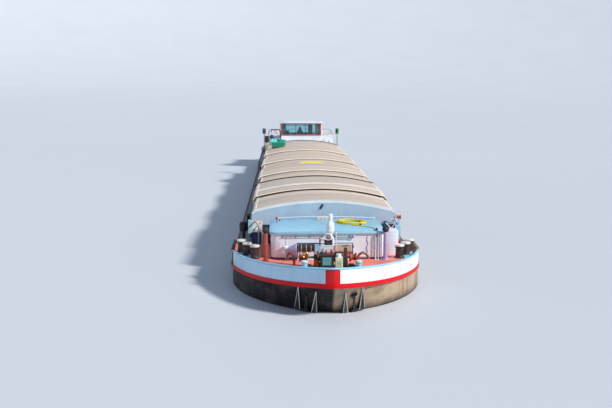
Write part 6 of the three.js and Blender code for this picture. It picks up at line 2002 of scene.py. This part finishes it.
def make_stern_fittings():
    """Hatches and rails on the casing, side lights, and the gear on the after deck."""
    form = Form()
    for x0, x1 in ((-22.2, -20.6), (-20.2, -18.8)):
        form.box(x0, x1, -1.0, 1.0, 3.815, 4.0)
        form.box(x0 + 0.06, x1 - 0.06, -0.94, 0.94, 4.0, 4.02, ink=1)
        for y in (-0.7, 0.7):
            form.lathe([(0, 0), (0.07, 0), (0.07, 0.02), (0.03, 0.03), (0, 0.03)], ((x0 + x1) / 2, y, 4.018),
                sides=20, ink=2, soft=0.006)
    for side in (1, -1):
        y = side * 2.7
        form.rod((-22.5, y, 4.6), (-17.5, y, 4.6), 0.018, 10, ink=2)
        form.rod((-22.5, y, 4.22), (-17.5, y, 4.22), 0.012, 8, ink=2)
        for i in range(5):
            x = mixed(-22.5, -17.5, i / 4)
            form.post(x, y, 3.815, 4.6, 0.018, 10, ink=2)
            form.lathe([(0, 3.815), (0.05, 3.815), (0.05, 3.83), (0, 3.835)], (x, y, 0), sides=14, ink=2)
        form.wrap(lambda out: [(-22.68 - out, -3.1 - out), (-17.2 + out, -3.1 - out),
            (-17.2 + out, 3.1 + out), (-22.68 - out, 3.1 + out)],
            [(-0.01, 3.74), (0.02, 3.745), (0.02, 3.795), (-0.01, 3.8)])
        form.box(-24.62, -24.3, side * 3.69, side * 3.748, 5.28, 5.5, ink=3)
        form.lathe([(0, -0.08), (0.06, -0.08), (0.07, -0.05), (0.07, 0.05), (0.06, 0.08), (0, 0.08)],
            (-24.42, side * 3.66, 5.38), sides=24, ink=3, soft=0.01)
    foot = STERN_DECK + 0.003
    cowl = [(0, 0), (0.22, 0), (0.22, 0.03), (0.16, 0.05), (0.16, 1.7), (0.2, 1.74), (0.2, 2.26),
        (0.17, 2.32), (0, 2.34)]
    form.lathe(cowl[:5] + [(0.155, 1.76), (0, 1.76)], (-16.6, -3.32, foot), sides=28, ink=6, soft=0.015)
    form.lathe([(0, 1.72), (0.15, 1.72), *cowl[5:]], (-16.6, -3.32, foot), sides=28, ink=3, soft=0.02)
    form.lathe([(0, 0.76), (0.12, 0.76), (0.12, 0.8), (0.08, 0.82), (0.08, 2.05), (0, 2.05)],
        (-17.3, -2.86, foot), sides=24, soft=0.01)
    form.ball((-17.3, -2.86, 5.26), 0.2, ink=8, sides=28)
    form.box(-16.98, -16.5, -2.2, -1.5, STERN_DECK, 3.8, ink=6)
    form.box(-17.0, -16.48, -2.22, -1.48, 3.8, 3.83)
    for x, y in ((-32.0, 0.7), (-32.0, -0.7)):
        form.lathe([(0, 0), (0.1, 0), (0.1, 0.02), (0.05, 0.03), (0.05, 0.4), (0.075, 0.41), (0.075, 0.45),
            (0, 0.46)], (x, y, STERN_DECK + 0.004), sides=24, ink=3, soft=0.008)
    form.rod((-32.9, 0.0, 3.4), (-33.1, 0.0, 4.7), 0.025, 14, ink=7)
    form.ball((-33.1, 0.0, 4.72), 0.035, ink=7, sides=12)
    form.box(-32.98, -32.82, -0.05, 0.05, STERN_DECK, 3.46, ink=2)
    looks = ["lip", "roof", "steel", "dark", "pale_green", "lamp_red", "canvas", "door", "navy"]
    make_piece(form, "stern_fittings", looks, edge=0.006, crease=40)


class BARGE_OT_stern_gear(bpy.types.Operator):
    """Engine casing, light boards and the gear on the after deck"""
    bl_idname = "barge.stern_gear"
    bl_label = "Stern gear"

    def execute(self, context):
        dress("house", "engine_casing", edge=0.02)
        dress("green", "light_board_port", edge=0.004)
        dress("grey", "light_board_starboard", edge=0.004)
        make_stern_fittings()
        return {"FINISHED"}


def make_propeller():
    """Hub and four twisted blades."""
    form = Form()
    hub = [(0, -0.26), (0.05, -0.25), (0.1, -0.2), (0.13, -0.1), (0.13, 0.15), (0.12, 0.2), (0.06, 0.2),
        (0.06, 0.5), (0, 0.5)]
    form.lathe(hub, (SCREW_X, 0, SHAFT_Z), "x", 40, soft=0.02)
    for i in range(4):
        turned = placed((SCREW_X, 0, SHAFT_Z), radians(45 + 90 * i), "X")
        rings = []
        for k in range(13):
            share = k / 12
            reach = 0.08 + (SCREW_RADIUS - 0.08) * share
            chord = 0.05 + 0.17 * sqrt(max(0.0, sin(pi * (0.12 + 0.88 * share))))
            thick = mixed(0.03, 0.006, share)
            twist = radians(mixed(62, 28, share))
            section = []
            for j in range(16):
                a = 2 * pi * j / 16
                u, v = chord * cos(a), thick * sin(a) * (1 + 0.3 * cos(a))
                section.append((u * sin(pi / 2 - twist) - v * cos(pi / 2 - twist),
                    u * cos(pi / 2 - twist) + v * sin(pi / 2 - twist), reach))
            rings.append(section)
        form.skin(rings, turn=turned)
    make_piece(form, "propeller_cast", "bronze", "screw", ("propeller",), crease=45)


def make_rudder():
    """Foil, its stock and its stiffeners."""
    stock = RUDDER_STOCK
    blade = Form()
    plan = [(stock + 0.36, 0.0), (stock + 0.34, 0.03), (stock + 0.28, 0.05), (stock + 0.15, 0.068),
        (stock, 0.075), (stock - 0.2, 0.068), (stock - 0.45, 0.05), (stock - 0.7, 0.026),
        (stock - 0.88, 0.008)]
    blade.prism("xy", [*plan, *((x, -y) for x, y in reversed(plan[1:]))], 0.2, 1.48)
    blade.lathe(drum(0.07, 1.4, 2.15), (stock, 0, 0), sides=28, ink=1)
    for z in (0.22, 0.6, 1.04, 1.46):
        outer = [(x, y * 1.12 + copysign(0.004, y or 1.0)) for x, y in plan[2:-1]]
        blade.prism("xy", [*outer, *((x, -y) for x, y in reversed(outer))], z - 0.018, z + 0.018)
    blade.box(stock - 0.14, stock + 0.14, -0.09, 0.09, 1.44, 1.5, ink=1)
    make_piece(blade, "rudder_foil", ["tar", "steel"], "rudder_blade", ("rudder",), crease=30)


class BARGE_OT_running_gear(bpy.types.Operator):
    """Bronze propeller, and the rudder with its stock"""
    bl_idname = "barge.running_gear"
    bl_label = "Running gear"

    def execute(self, context):
        make_propeller()
        make_rudder()
        return {"FINISHED"}


class BARGE_PT_panel(bpy.types.Panel):
    """Colours, sizes and light, and each piece's button"""
    bl_idname = "BARGE_PT_panel"
    bl_label = "River barge"
    bl_space_type = "VIEW_3D"
    bl_region_type = "UI"
    bl_category = "Barge"

    def draw(self, context):
        for title, group in (("Colours", context.scene.barge_colours), ("Sizes", context.scene.barge_sizes),
                ("Light", context.scene.barge_light)):
            box = self.layout.box()
            box.label(text=title)
            for name in group.bl_rna.properties.keys():
                if name not in ("rna_type", "name"):
                    box.prop(group, name)
        column = self.layout.column(align=True)
        for operator in OPERATORS:
            column.operator(operator.bl_idname)


GROUPS = {"barge_colours": BargeColours, "barge_sizes": BargeSizes, "barge_light": BargeLight}
OPERATORS = (
    BARGE_OT_finishes, BARGE_OT_stage, BARGE_OT_rope, BARGE_OT_hull, BARGE_OT_walkways, BARGE_OT_hatch,
    BARGE_OT_coaming_gear, BARGE_OT_bow_house, BARGE_OT_deck_gear, BARGE_OT_ground_tackle,
    BARGE_OT_wheelhouse,
    BARGE_OT_aft_house, BARGE_OT_boat, BARGE_OT_stern_gear, BARGE_OT_running_gear,
)


def register():
    for kind in (*GROUPS.values(), *OPERATORS, BARGE_PT_panel):
        bpy.utils.register_class(kind)
    for name, group in GROUPS.items():
        setattr(bpy.types.Scene, name, PointerProperty(type=group))


def unregister():
    for name in GROUPS:
        delattr(bpy.types.Scene, name)
    for kind in reversed((*GROUPS.values(), *OPERATORS, BARGE_PT_panel)):
        bpy.utils.unregister_class(kind)


def main():
    """Runs each operator in order."""
    register()
    bpy.ops.barge.finishes()
    bpy.ops.barge.stage()
    bpy.ops.barge.rope()
    bpy.ops.barge.hull()
    bpy.ops.barge.walkways()
    bpy.ops.barge.hatch()
    bpy.ops.barge.coaming_gear()
    bpy.ops.barge.bow_house()
    bpy.ops.barge.deck_gear()
    bpy.ops.barge.ground_tackle()
    bpy.ops.barge.wheelhouse()
    bpy.ops.barge.aft_house()
    bpy.ops.barge.boat()
    bpy.ops.barge.stern_gear()
    bpy.ops.barge.running_gear()


if __name__ == "__main__":
    main()
